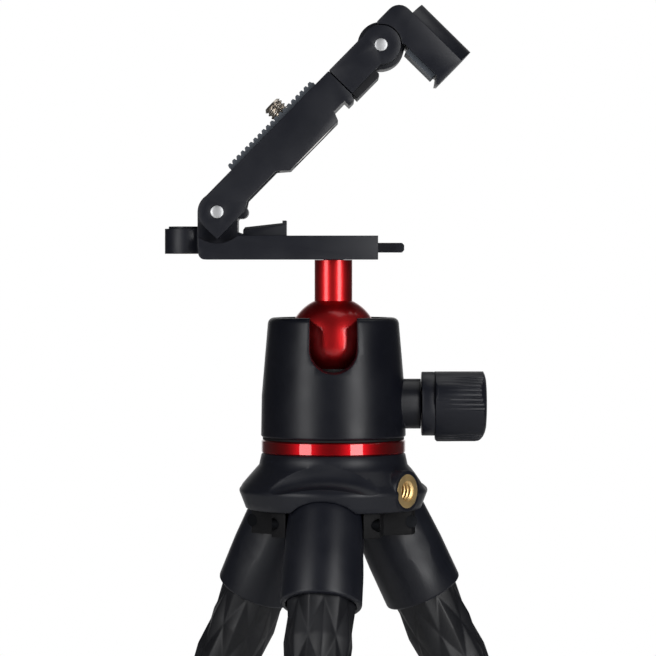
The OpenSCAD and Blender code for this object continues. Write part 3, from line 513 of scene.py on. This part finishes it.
def studded_tree() -> bpy.types.NodeTree:
    """Builds the tree of a studded rubber tube about local Z, hanging down from zero.

    Its skin is a rule: two zigzags, one round the tube and one along it, that meet as
    staggered diamonds. Their peaks and valleys are a little rounded, as moulded rubber is.

    Returns:
        The tree, with the sizes of one length of rubber as its inputs.
    """
    tree, sizes = new_tree("studded_rubber", {
        "Low Radius": 10 * MM, "Relief": 0.85 * MM, "Bore Radius": 2 * MM, "Start": 0.0,
        "End": 0.05, "First Row": 0.016, "Row Length": 0.012, "Studs": 7.0})
    around, along = 196, 96
    math_node = "ShaderNodeMath"
    grid = add_node(tree, "GeometryNodeMeshGrid",
                    {"Size X": 1.0, "Size Y": 1.0, "Vertices X": around + 1, "Vertices Y": along})
    place = add_node(tree, "ShaderNodeSeparateXYZ",
                     {0: add_node(tree, "GeometryNodeInputPosition").outputs[0]})
    turn = add_node(tree, math_node, {0: place.outputs["X"], 1: 0.5}, operation="ADD").outputs[0]
    angle = add_node(tree, math_node, {0: turn, 1: 2 * math.pi}, operation="MULTIPLY").outputs[0]
    # The two outermost rows of the grid fold in to the bore and close the ends
    last = along - 1
    row = add_node(tree, "ShaderNodeMapRange", {
        "Value": place.outputs["Y"], "From Min": -0.5 + 1 / last, "From Max": 0.5 - 1 / last,
        "To Min": sizes.outputs["Start"], "To Max": sizes.outputs["End"]})
    depth = row.outputs["Result"]
    wide = add_node(tree, math_node, {0: place.outputs["Y"]}, operation="ABSOLUTE").outputs[0]
    folded = add_node(tree, math_node, {0: wide, 1: 0.5 - 0.5 / last}, operation="GREATER_THAN").outputs[0]
    zigzags = []
    steps_round = add_node(
        tree, math_node, {0: turn, 1: sizes.outputs["Studs"]}, operation="MULTIPLY").outputs[0]
    steps_round = add_node(
        tree, math_node, {0: steps_round, 1: 2.0, 2: -0.5}, operation="MULTIPLY_ADD").outputs[0]
    past_first = add_node(
        tree, math_node, {0: depth, 1: sizes.outputs["First Row"]}, operation="SUBTRACT").outputs[0]
    steps_down = add_node(
        tree, math_node, {0: past_first, 1: sizes.outputs["Row Length"]}, operation="DIVIDE").outputs[0]
    for steps in (steps_round, steps_down):
        phase = add_node(tree, math_node, {0: steps, 1: math.pi}, operation="MULTIPLY").outputs[0]
        wave = add_node(tree, math_node, {0: phase}, operation="COSINE").outputs[0]
        eased = add_node(tree, math_node, {0: wave, 1: 0.998}, operation="MULTIPLY").outputs[0]
        bend = add_node(tree, math_node, {0: eased}, operation="ARCCOSINE").outputs[0]
        zigzags.append(add_node(tree, math_node, {0: bend, 1: math.pi}, operation="DIVIDE").outputs[0])
    both = add_node(tree, math_node, {0: zigzags[0], 1: zigzags[1]}, operation="ADD").outputs[0]
    apart = add_node(tree, math_node, {0: both, 1: 1.0}, operation="SUBTRACT").outputs[0]
    squared = add_node(tree, math_node, {0: apart, 1: apart, 2: 0.0004}, operation="MULTIPLY_ADD").outputs[0]
    height = add_node(tree, math_node, {0: squared}, operation="SQRT").outputs[0]
    skin = add_node(tree, math_node, {0: height, 1: sizes.outputs["Relief"], 2: sizes.outputs["Low Radius"]},
                    operation="MULTIPLY_ADD").outputs[0]
    radius = add_node(tree, "ShaderNodeMix", {
        "Factor": folded, "A": skin, "B": sizes.outputs["Bore Radius"]}).outputs["Result"]
    x = add_node(tree, math_node, {0: angle}, operation="COSINE").outputs[0]
    x = add_node(tree, math_node, {0: x, 1: radius}, operation="MULTIPLY").outputs[0]
    y = add_node(tree, math_node, {0: angle}, operation="SINE").outputs[0]
    y = add_node(tree, math_node, {0: y, 1: radius}, operation="MULTIPLY").outputs[0]
    z = add_node(tree, math_node, {0: depth, 1: -1.0}, operation="MULTIPLY").outputs[0]
    point = add_node(tree, "ShaderNodeCombineXYZ", {"X": x, "Y": y, "Z": z}).outputs["Vector"]
    tube = add_node(tree, "GeometryNodeSetPosition", {"Geometry": grid.outputs["Mesh"], "Position": point})
    outside = add_node(tree, "GeometryNodeFlipFaces", {"Mesh": tube.outputs["Geometry"]})
    length = add_node(tree, math_node, {
        0: sizes.outputs["End"], 1: sizes.outputs["Start"]}, operation="SUBTRACT").outputs[0]
    bore = add_node(tree, "GeometryNodeMeshCylinder", {
        "Vertices": around, "Radius": sizes.outputs["Bore Radius"], "Depth": length}, fill_type="NONE")
    middle = add_node(tree, math_node, {0: length, 1: -0.5, 2: 0.0}, operation="MULTIPLY_ADD").outputs[0]
    middle = add_node(
        tree, math_node, {0: middle, 1: sizes.outputs["Start"]}, operation="SUBTRACT").outputs[0]
    lowered = add_node(tree, "GeometryNodeTransform", {
        "Geometry": bore.outputs["Mesh"],
        "Translation": add_node(tree, "ShaderNodeCombineXYZ", {"Z": middle}).outputs["Vector"]})
    inside = add_node(tree, "GeometryNodeFlipFaces", {"Mesh": lowered.outputs["Geometry"]})
    joined = add_node(tree, "GeometryNodeJoinGeometry")
    for part in (inside.outputs["Mesh"], outside.outputs["Mesh"]):
        tree.links.new(part, joined.inputs["Geometry"])
    closed = add_node(tree, "GeometryNodeMergeByDistance", {
        "Geometry": joined.outputs[0], "Distance": 0.01 * MM})
    plain = add_node(tree, "GeometryNodeRealizeInstances", {"Geometry": closed.outputs["Geometry"]})
    coloured = add_node(tree, "GeometryNodeSetMaterial", {
        "Geometry": plain.outputs["Geometry"], "Material": LEG_RUBBER.material()})
    add_node(tree, "NodeGroupOutput", {"Geometry": coloured.outputs["Geometry"]})
    return tree


def thread_tree() -> bpy.types.NodeTree:
    """Builds the tree of a screw thread about local Z, from zero upwards.

    Returns:
        The tree, with the thread's sizes as its inputs.
    """
    tree, sizes = new_tree("screw_thread", {
        "Outer Radius": INCH / 8, "Back Radius": MM, "Depth": 0.65 * MM, "Pitch": INCH / 20,
        "Length": 6 * MM, "Side": 1.0})
    around, along = 48, 160
    last = along - 1
    math_node = "ShaderNodeMath"
    grid = add_node(tree, "GeometryNodeMeshGrid",
                    {"Size X": 1.0, "Size Y": 1.0, "Vertices X": around + 1, "Vertices Y": along})
    place = add_node(tree, "ShaderNodeSeparateXYZ",
                     {0: add_node(tree, "GeometryNodeInputPosition").outputs[0]})
    turn = add_node(tree, math_node, {0: place.outputs["X"], 1: 0.5}, operation="ADD").outputs[0]
    # The two outermost rows of the grid fold to the back wall and close the ends
    rise = add_node(tree, "ShaderNodeMapRange", {
        "Value": place.outputs["Y"], "From Min": -0.5 + 1 / last,
        "From Max": 0.5 - 1 / last}).outputs["Result"]
    wide = add_node(tree, math_node, {0: place.outputs["Y"]}, operation="ABSOLUTE").outputs[0]
    folded = add_node(tree, math_node, {0: wide, 1: 0.5 - 0.5 / last}, operation="GREATER_THAN").outputs[0]
    height = add_node(tree, math_node, {0: rise, 1: sizes.outputs["Length"]}, operation="MULTIPLY").outputs[0]
    laps = add_node(tree, math_node, {0: height, 1: sizes.outputs["Pitch"]}, operation="DIVIDE").outputs[0]
    phase = add_node(tree, math_node, {0: laps, 1: turn}, operation="SUBTRACT").outputs[0]
    zigzag = add_node(tree, math_node, {0: phase, 1: 0.5}, operation="PINGPONG").outputs[0]
    # Flat crest and root, sloped flanks
    flank = add_node(tree, "ShaderNodeMapRange", {
        "Value": zigzag, "From Min": 0.08, "From Max": 0.42, "To Min": 0.0, "To Max": 1.0})
    # The last turn runs out at both ends
    ends = add_node(tree, math_node, {0: rise, 1: 0.5}, operation="PINGPONG").outputs[0]
    fade = add_node(tree, "ShaderNodeMapRange", {"Value": ends, "From Min": 0.0, "From Max": 0.06})
    groove = add_node(tree, math_node, {
        0: flank.outputs["Result"], 1: fade.outputs["Result"]}, operation="MULTIPLY").outputs[0]
    cut = add_node(tree, math_node, {0: groove, 1: sizes.outputs["Depth"]}, operation="MULTIPLY").outputs[0]
    ridge = add_node(
        tree, math_node, {0: sizes.outputs["Outer Radius"], 1: cut}, operation="SUBTRACT").outputs[0]
    radius = add_node(tree, "ShaderNodeMix", {
        "Factor": folded, "A": ridge, "B": sizes.outputs["Back Radius"]}).outputs["Result"]
    angle = add_node(tree, math_node, {0: turn, 1: 2 * math.pi}, operation="MULTIPLY").outputs[0]
    x = add_node(tree, math_node, {0: angle}, operation="COSINE").outputs[0]
    x = add_node(tree, math_node, {0: x, 1: radius}, operation="MULTIPLY").outputs[0]
    y = add_node(tree, math_node, {0: angle}, operation="SINE").outputs[0]
    y = add_node(tree, math_node, {0: y, 1: radius}, operation="MULTIPLY").outputs[0]
    point = add_node(tree, "ShaderNodeCombineXYZ", {"X": x, "Y": y, "Z": height}).outputs["Vector"]
    wall = add_node(tree, "GeometryNodeSetPosition", {"Geometry": grid.outputs["Mesh"], "Position": point})
    back = add_node(tree, "GeometryNodeMeshCylinder", {
        "Vertices": around, "Radius": sizes.outputs["Back Radius"],
        "Depth": sizes.outputs["Length"]}, fill_type="NONE")
    half = add_node(tree, math_node, {0: sizes.outputs["Length"], 1: 0.5}, operation="MULTIPLY").outputs[0]
    raised = add_node(tree, "GeometryNodeTransform", {
        "Geometry": back.outputs["Mesh"],
        "Translation": add_node(tree, "ShaderNodeCombineXYZ", {"Z": half}).outputs["Vector"]})
    turned = add_node(tree, "GeometryNodeFlipFaces", {"Mesh": raised.outputs["Geometry"]})
    joined = add_node(tree, "GeometryNodeJoinGeometry")
    for part in (turned.outputs["Mesh"], wall.outputs["Geometry"]):
        tree.links.new(part, joined.inputs["Geometry"])
    inward = add_node(tree, math_node, {0: sizes.outputs["Side"], 1: 0.0}, operation="LESS_THAN").outputs[0]
    faced = add_node(tree, "GeometryNodeFlipFaces", {"Mesh": joined.outputs[0], "Selection": inward})
    closed = add_node(tree, "GeometryNodeMergeByDistance", {
        "Geometry": faced.outputs["Mesh"], "Distance": 0.001 * MM})
    plain = add_node(tree, "GeometryNodeRealizeInstances", {"Geometry": closed.outputs["Geometry"]})
    coloured = add_node(tree, "GeometryNodeSetMaterial", {
        "Geometry": plain.outputs["Geometry"], "Material": NICKEL_PLATE.material()})
    add_node(tree, "NodeGroupOutput", {"Geometry": coloured.outputs["Geometry"]})
    return tree


def frame_on(origin: Vector, up: Vector) -> Matrix:
    """Returns a placement whose Z runs along up from origin."""
    turn = Vector((0, 0, 1)).rotation_difference(up.normalized())
    return Matrix.Translation(origin) @ turn.to_matrix().to_4x4()


@dataclass
class BendableLeg:
    """One leg: its studded rubber and core wire, each cut into lengths round its bending points.

    Attributes:
        number: Which leg, from 1.
        rubber_start: Top of the rubber, below the leg's hinge.
        rubber_end: Bottom of the rubber.
        low_radius: Radius in the valleys between studs.
        relief: Height of the studs.
        row_length: Half the length of a stud.
        studs: Studs round the leg.
        core_start: Top of the core wire.
        core_end: Bottom of the core wire.
        core_radius: Radius of the core wire.
        bend_reach: How far above and below a joint the rubber turns; not used.
        edge: Rounding of the sleeve's moulded edges.
    """

    number: int
    rubber_start: float = 14.55 * MM
    rubber_end: float = 170.45 * MM
    low_radius: float = 9.63 * MM
    relief: float = 1.15 * MM
    row_length: float = 12 * MM
    studs: int = 7
    core_start: float = 8.55 * MM
    core_end: float = 175.4 * MM
    core_radius: float = 2 * MM
    bend_reach: float = 13 * MM
    edge: float = 0.4 * MM

    def bodies(self) -> list[str]:
        """Returns the leg's bodies from the hub down."""
        return [f"leg_{self.number}_{part}" for part in ("top", "upper", "middle", "end")]

    def bends(self) -> list[Vector]:
        """Returns the leg's bending points from the hub down."""
        return [Vector(joint_named(f"leg_{self.number}_bend_{c}")["pos_m"]) for c in "abc"]

    def placement(self) -> Matrix:
        """Returns the leg's own frame at its hinge: Y along the hinge, the leg down local Z."""
        swing = joint_named(f"leg_{self.number}_swing")
        origin = Vector(swing["pos_m"])
        across = Vector(swing["axis"]).normalized()
        up = (origin - self.bends()[0]).normalized()
        out = across.cross(up)
        columns = Matrix((out, across, up)).transposed()
        return Matrix.Translation(origin) @ columns.to_4x4()

    def build(self, tree: bpy.types.NodeTree) -> None:
        """Makes the leg's lengths of rubber and wire round its bending points.

        Args:
            tree: The tree of a studded tube.
        """
        place = self.placement()
        origin = place.translation
        bodies, bends = self.bodies(), self.bends()
        depths = [(bend - origin).length for bend in bends]
        splits = [(a + b) / 2 for a, b in zip(depths, depths[1:])]
        rubber_cuts = [self.rubber_start, *splits, self.rubber_end]
        wire_cuts = [self.core_start, *splits, self.core_end]
        stands_for = [("a",), ("b",), ("c", "d")]
        for k, (depth, letters) in enumerate(zip(depths, stands_for)):
            rubber = grown(f"leg_{self.number}_rubber_{k + 1}", tree, {
                "Low Radius": self.low_radius, "Relief": self.relief,
                "Bore Radius": self.core_radius + 0.05 * MM, "Start": rubber_cuts[k],
                "End": rubber_cuts[k + 1], "First Row": self.rubber_start - 0.05 * MM,
                "Row Length": self.row_length, "Studs": self.studs}, place)
            dress(rubber, LEG_RUBBER)
            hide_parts(*[f"grip_{self.number}{c}" for c in letters])
            wire = self.wire(k, wire_cuts[k], wire_cuts[k + 1], place)
            if k == 0:
                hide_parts(f"core_{self.number}")
            for piece in (rubber, wire):
                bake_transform(piece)
            log.info("leg %d: rubber and wire round bend %d", self.number, k + 1)

    def dress(self) -> None:
        """Gives the foot its finish and the sleeve soft edges, with its flats blended in."""
        SoftEdges(f"sleeve_{self.number}", self.bodies()[0], "satin_black", MOULDED_ABS, self.edge).build()
        dress_nodes({f"foot_{self.number}": LEG_RUBBER})

    def wire(self, k: int, start: float, end: float, place: Matrix) -> bpy.types.Object:
        """Makes one length of core wire with rings close enough to bend.

        Args:
            k: Which length, from 0.
            start: Its top, below the hinge.
            end: Its bottom.
            place: The leg's frame.

        Returns:
            The wire.
        """
        rings = 40
        outline = [(0.0, -start)]
        outline += [(self.core_radius, -start - (end - start) * i / rings) for i in range(rings + 1)]
        outline += [(0.0, -end)]
        wire = lathed(f"leg_{self.number}_wire_{k + 1}", outline, place, steps=24)
        dress(wire, SOFT_WIRE)
        return wire


@dataclass
class InsertThread:
    """The thread inside one brass insert.

    Attributes:
        mount: The record's mount that the insert carries.
        body: The body that it rides on.
        length: Length of the thread.
        ahead: How far the insert's face stands ahead of the mount's place.
        depth: Height of the thread.
    """

    mount: str
    body: str
    length: float
    ahead: float = 0.0
    depth: float = 0.6 * MM

    def build(self, tree: bpy.types.NodeTree) -> None:
        """Makes the thread on the wall of the insert's bore.

        Args:
            tree: The tree of a screw thread.
        """
        mount = mount_named(self.mount)
        up = Vector(mount["axis"])
        radius = mount["dims"]["r_mm"] * MM
        start = Vector(mount["pos_m"]) + up * (self.ahead - self.length)
        thread = grown(self.mount + "_turns", tree, {
            "Outer Radius": radius - 0.05 * MM, "Back Radius": radius - 0.01 * MM, "Depth": self.depth,
            "Pitch": INCH / 20, "Length": self.length - 0.05 * MM, "Side": ThreadSide.BORE.value},
            frame_on(start, up))
        dress(thread, TURNED_BRASS)
        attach(thread, self.body)
        log.info("thread in %s", self.mount)


@dataclass
class Hub:
    """The moulded hub with its yoke, side insert and the red ring that the head turns on.

    Attributes:
        edge: Rounding of the hub's moulded edges.
        insert_length: Length of the side insert's thread.
        insert_ahead: From the side thread's place to the insert's face.
        shade_lip_radius: Radius of the washer's black lip, painted shade that closes the groove over the
            ring.
        shade_lip_height: Height of that lip.
        washer_bore: Radius of the washer's hole.
        washer_gap: How far the washer stays clear of the head.
    """

    edge: float = 0.4 * MM
    insert_length: float = 7.9 * MM
    insert_ahead: float = 0.95 * MM
    shade_lip_radius: float = 22.1 * MM
    shade_lip_height: float = 0.68 * MM
    washer_bore: float = 3.3 * MM
    washer_gap: float = 0.02 * MM

    def build(self, threads: bpy.types.NodeTree) -> None:
        """Makes the soft-edged hub and yoke and the side insert's thread.

        Args:
            threads: The tree of a screw thread.
        """
        SoftEdges("hub_shell", "hub", "satin_black", MOULDED_ABS, self.edge).build()
        # The yoke's darkened finish is painted shade under the hub.
        SoftEdges("leg_yoke", "hub", "satin_black", SHADE_DARKENED_ABS, self.edge).build()
        InsertThread("side_thread", "hub", self.insert_length, self.insert_ahead).build(threads)
        self.washer()

    def washer(self) -> None:
        """Makes the pan washer in place of the plain disc, with a black lip round the hub's step as painted
        shade over the groove.
        """
        low, high = (Vector(corner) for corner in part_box("pan_washer"))
        radius = (high.x - low.x) / 2
        middle = (low + high) / 2
        bore = self.washer_bore
        top = high.z - self.washer_gap
        foot = top - self.shade_lip_height
        step = radius + 3 * self.washer_gap
        # The lip past the hub's step is painted shade: a black sheet that closes the groove over the red
        # ring.
        outline = [
            (bore, low.z), (step, low.z), (step, foot), (self.shade_lip_radius, foot),
            (self.shade_lip_radius, top), (bore, top), (bore, low.z)]
        piece = lathed("pan_washer_shade_lip", outline, Matrix.Translation((middle.x, middle.y, 0)))
        # Black here is painted shade in the groove over the red ring.
        dress(piece, NYLON_PAINTED_SHADE_BLACK)
        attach(piece, "hub")
        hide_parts("pan_washer")

    def dress(self) -> None:
        """Gives the hub's other solids their finishes."""
        dress_nodes({
            "pan_ring": RED_BRIGHT, "side_insert": TURNED_BRASS,
            "yoke_screws": BLACK_OXIDE, "leg_pins": BLACK_OXIDE, "hub_bolt": BLACK_OXIDE,
            "pan_nut": BLACK_OXIDE})


@dataclass
class BallHead:
    """The head with its ball, retainer and lock knob.

    Attributes:
        edge: Rounding of the head's cast edges.
        knob_edge: Rounding of the knob's moulded edges.
    """

    edge: float = 0.5 * MM
    knob_edge: float = 0.3 * MM

    def build(self) -> None:
        """Makes the soft-edged head, collar and knob."""
        SoftEdges("head_body", "head", "black_alloy", COATED_ALLOY, self.edge).build()
        SoftEdges("knob_collar", "knob", "satin_black", MOULDED_ABS, self.knob_edge).build()
        SoftEdges("lock_knob", "knob", "satin_black", MOULDED_ABS, self.knob_edge).build()

    def dress(self) -> None:
        """Gives the head's other solids their finishes."""
        dress_nodes({
            "ball_stem": RED_ANODISED, "ball_retainer": COATED_ALLOY, "ball_cup": BLACK_ACETAL,
            "clamp_wedge": BLACK_OXIDE, "lock_screw": BLACK_OXIDE, "stem_stud": BLACK_OXIDE})


@dataclass
class PhoneHolder:
    """The folding holder: base, arm, slider and jaw with their pins, pads and camera screw.

    Attributes:
        edge: Rounding of the moulded edges.
        pin_dome: Height of the domed end of a hinge pin.
        disc_radius: Radius of the disc that turns the camera screw.
        disc_height: Thickness of that disc.
        neck_radius: Radius of the screw's plain neck in the arm.
        neck_length: From the disc's face to the start of the thread.
        tip: Length of the screw's bevelled tip.
        thread_depth: Height of the screw's thread.
        boss_length: Length of the end boss's thread.
    """

    edge: float = 0.4 * MM
    pin_dome: float = 0.3 * MM
    disc_radius: float = 9 * MM
    disc_height: float = 2.4 * MM
    neck_radius: float = 2.775 * MM
    neck_length: float = 14.7 * MM
    tip: float = 0.7 * MM
    thread_depth: float = 0.62 * MM
    boss_length: float = 7.7 * MM

    def build(self, threads: bpy.types.NodeTree) -> None:
        """Makes the soft-edged mouldings, the pins, the screw and the boss's thread.

        Args:
            threads: The tree of a screw thread.
        """
        mouldings = {"holder_base": "holder", "arm_channel": "arm", "slider": "slide", "jaw": "jaw"}
        for node, body in mouldings.items():
            SoftEdges(node, body, "satin_black", MOULDED_ABS, self.edge).build()
        self.pin("lower_hinge_pin", "holder", "arm_fold")
        self.pin("upper_hinge_pin", "slide", "jaw_fold")
        self.camera_screw(threads)
        InsertThread("end_thread", "holder", self.boss_length).build(threads)

    def pin(self, node: str, body: str, joint: str) -> None:
        """Makes one hinge pin with domed ends in place of the plain solid.

        Args:
            node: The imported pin.
            body: The body that it rides on.
            joint: The hinge that it makes.
        """
        low, high = (Vector(corner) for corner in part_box(node))
        radius, half = (high.x - low.x) / 2, (high.y - low.y) / 2
        rim = half - self.pin_dome
        outline = [(0.0, -half), (0.6 * radius, -half + 0.3 * self.pin_dome),
                   (0.88 * radius, -half + 0.65 * self.pin_dome), (radius, -rim)]
        outline += [(r, -h) for r, h in reversed(outline)]
        place = frame_on((low + high) / 2, Vector(joint_named(joint)["axis"]))
        piece = lathed(node + "_domed", outline, place, steps=48)
        dress(piece, TURNED_STEEL)
        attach(piece, body)
        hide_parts(node)

    def camera_screw(self, threads: bpy.types.NodeTree) -> None:
        """Makes the camera screw's body and thread in place of the plain solid.

        Args:
            threads: The tree of a screw thread.
        """
        mount = mount_named("camera_screw")
        up = Vector(mount["axis"])
        length = mount["dims"]["length_mm"] * MM + 0.1 * MM
        radius = mount["dims"]["r_mm"] * MM
        start = Vector(mount["pos_m"]) - up * (length / 2 - 0.05 * MM)
        bevel = 0.4 * MM
        core = radius - self.thread_depth - 0.15 * MM
        top = self.neck_length + length
        body = lathed("camera_screw_body", [
            (0, 0), (self.disc_radius - bevel, 0), (self.disc_radius, bevel),
            (self.disc_radius, self.disc_height - bevel), (self.disc_radius - bevel, self.disc_height),
            (self.neck_radius, self.disc_height), (self.neck_radius, self.neck_length - 0.3 * MM),
            (core, self.neck_length), (core, top - 0.05 * MM), (radius - 0.05 * MM, top),
            (radius - self.tip, top + self.tip), (0, top + self.tip)],
            frame_on(start - up * self.neck_length, up))
        thread = grown("camera_screw_thread", threads, {
            "Outer Radius": radius, "Back Radius": MM, "Depth": self.thread_depth, "Pitch": INCH / 20,
            "Length": length, "Side": ThreadSide.ROD.value}, frame_on(start, up))
        for piece in (body, thread):
            dress(piece, NICKEL_PLATE)
            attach(piece, "screw")
        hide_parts("camera_screw")
        log.info("camera screw")

    def dress(self) -> None:
        """Gives the holder's other solids their finishes."""
        dress_nodes({
            "latch_tongue": MOULDED_ABS, "base_insert": TURNED_BRASS, "boss_insert": TURNED_BRASS,
            "support_pad": LEG_RUBBER, "slider_pad": LEG_RUBBER, "ribbed_pad": GREY_SILICONE,
            "jaw_pad": GREY_SILICONE, "slider_springs": BLACK_OXIDE})


@dataclass
class Studio:
    """The pale floor, soft lights, white surroundings and the photograph's camera.

    Attributes:
        distance: From the camera to the head's axis.
        eye_above: How far the camera is above the head's lower edge.
        lens: Focal length in millimetres on a 36 mm sensor.
        pitch: Degrees that the camera looks down.
        yaw: Degrees that it is turned to the left.
        floor_radius: Where the floor has faded out.
    """

    distance: float = 0.98
    eye_above: float = 0.05366
    lens: float = 172.2
    pitch: float = 1.15
    yaw: float = 0.0986
    floor_radius: float = 0.9

    def build(self) -> None:
        """Makes the whole set."""
        axis = Vector(joint_named("head_pan")["pos_m"])
        self.camera(axis)
        self.floor()
        self.surroundings()
        self.lamp("key_strip_left", axis + Vector((-0.65, -0.65, 0.06)), axis, (0.33, 1.1), 7.0)
        self.lamp("key_strip_right", axis + Vector((0.55, -0.73, 0.06)), axis, (0.33, 1.1), 9.0)
        self.lamp("top_soft", axis + Vector((0.1, 0.15, 0.75)), axis, (0.7, 0.7), 2.0)
        scene = bpy.context.scene
        scene.view_settings.view_transform = "Standard"

    def camera(self, axis: Vector) -> None:
        """Makes the camera, level with the holder's base and looking along +Y.

        Args:
            axis: A point on the head's axis.
        """
        data = bpy.data.cameras.new("photo_camera")
        data.lens = self.lens
        data.sensor_width = 36
        data.clip_start = 0.01
        eye = bpy.data.objects.new("photo_camera", data)
        eye.location = (axis.x, axis.y - self.distance, axis.z + self.eye_above)
        eye.rotation_euler = (math.radians(90 - self.pitch), 0, math.radians(self.yaw))
        bpy.context.scene.collection.objects.link(eye)
        bpy.context.scene.camera = eye

    def floor(self) -> None:
        """Makes a pale round floor whose edge fades into the surroundings."""
        bm = bmesh.new()
        bmesh.ops.create_circle(bm, cap_ends=True, segments=96, radius=self.floor_radius)
        mesh = bpy.data.meshes.new("floor")
        bm.to_mesh(mesh)
        bm.free()
        floor = shown("floor", mesh)
        paper = bpy.data.materials.new("paper_pale_matt")
        paper.use_nodes = True
        tree = paper.node_tree
        tree.nodes.clear()
        place = add_node(tree, "ShaderNodeTexCoord").outputs["Object"]
        grain = add_node(tree, "ShaderNodeTexNoise", {"Vector": place, "Scale": 400.0, "Detail": 2.0})
        bump = add_node(tree, "ShaderNodeBump", {
            "Height": grain.outputs["Fac"], "Strength": 0.05, "Distance": 0.2 * MM})
        sheet = add_node(tree, "ShaderNodeBsdfPrincipled", {
            "Base Color": linear("#ececec"), "Roughness": 0.9, "Specular IOR Level": 0.1,
            "Normal": bump.outputs["Normal"]})
        clear = add_node(tree, "ShaderNodeBsdfTransparent")
        away = add_node(tree, "ShaderNodeVectorMath", {0: place}, operation="LENGTH").outputs["Value"]
        fade = add_node(tree, "ShaderNodeMapRange", {
            "Value": away, "From Min": 0.35 * self.floor_radius, "From Max": 0.98 * self.floor_radius},
            interpolation_type="SMOOTHSTEP")
        mixed = add_node(tree, "ShaderNodeMixShader", {
            0: fade.outputs["Result"], 1: sheet.outputs["BSDF"], 2: clear.outputs["BSDF"]})
        add_node(tree, "ShaderNodeOutputMaterial", {"Surface": mixed.outputs["Shader"]})
        floor.data.materials.append(paper)

    def surroundings(self) -> None:
        """Makes the world: white to the camera, and dim on the part except from behind."""
        world = bpy.data.worlds.new("studio")
        bpy.context.scene.world = world
        world.use_nodes = True
        tree = world.node_tree
        tree.nodes.clear()
        way = add_node(tree, "ShaderNodeTexCoord").outputs["Generated"]
        back = add_node(tree, "ShaderNodeSeparateXYZ", {"Vector": way}).outputs["Y"]
        level = add_node(tree, "ShaderNodeMapRange", {
            "Value": back, "From Min": 0.86, "From Max": 0.985, "To Min": 0.055, "To Max": 1.0},
            interpolation_type="SMOOTHSTEP")
        seen = add_node(tree, "ShaderNodeLightPath").outputs["Is Camera Ray"]
        strength = add_node(
            tree, "ShaderNodeMath", {0: level.outputs["Result"], 1: seen}, operation="MAXIMUM")
        light = add_node(tree, "ShaderNodeBackground", {
            "Color": (1.0, 1.0, 1.0, 1.0), "Strength": strength.outputs["Value"]})
        add_node(tree, "ShaderNodeOutputWorld", {"Surface": light.outputs["Background"]})

    def lamp(self, name: str, spot: Vector, aim: Vector, size: tuple[float, float], power: float) -> None:
        """Makes one soft lamp.

        Args:
            name: Its name.
            spot: Where it stands.
            aim: What it points at.
            size: Width and height of its face.
            power: Its power in watts.
        """
        data = bpy.data.lights.new(name, "AREA")
        data.shape = "RECTANGLE"
        data.size, data.size_y = size
        data.energy = power
        lamp = bpy.data.objects.new(name, data)
        lamp.location = spot
        lamp.rotation_euler = (aim - spot).to_track_quat("-Z", "Y").to_euler()
        lamp.visible_camera = False
        bpy.context.scene.collection.objects.link(lamp)


def main() -> None:
    """Builds every piece in order."""
    logging.basicConfig(level=logging.INFO, format="%(name)s: %(message)s")
    Studio().build()
    studs, threads = studded_tree(), thread_tree()
    hub, head, holder = Hub(), BallHead(), PhoneHolder()
    hub.build(threads)
    head.build()
    holder.build(threads)
    for assembly in (hub, head, holder):
        assembly.dress()
    for number in range(1, LEG_COUNT + 1):
        leg = BendableLeg(number)
        leg.build(studs)
        leg.dress()


if __name__ == "__main__":
    main()
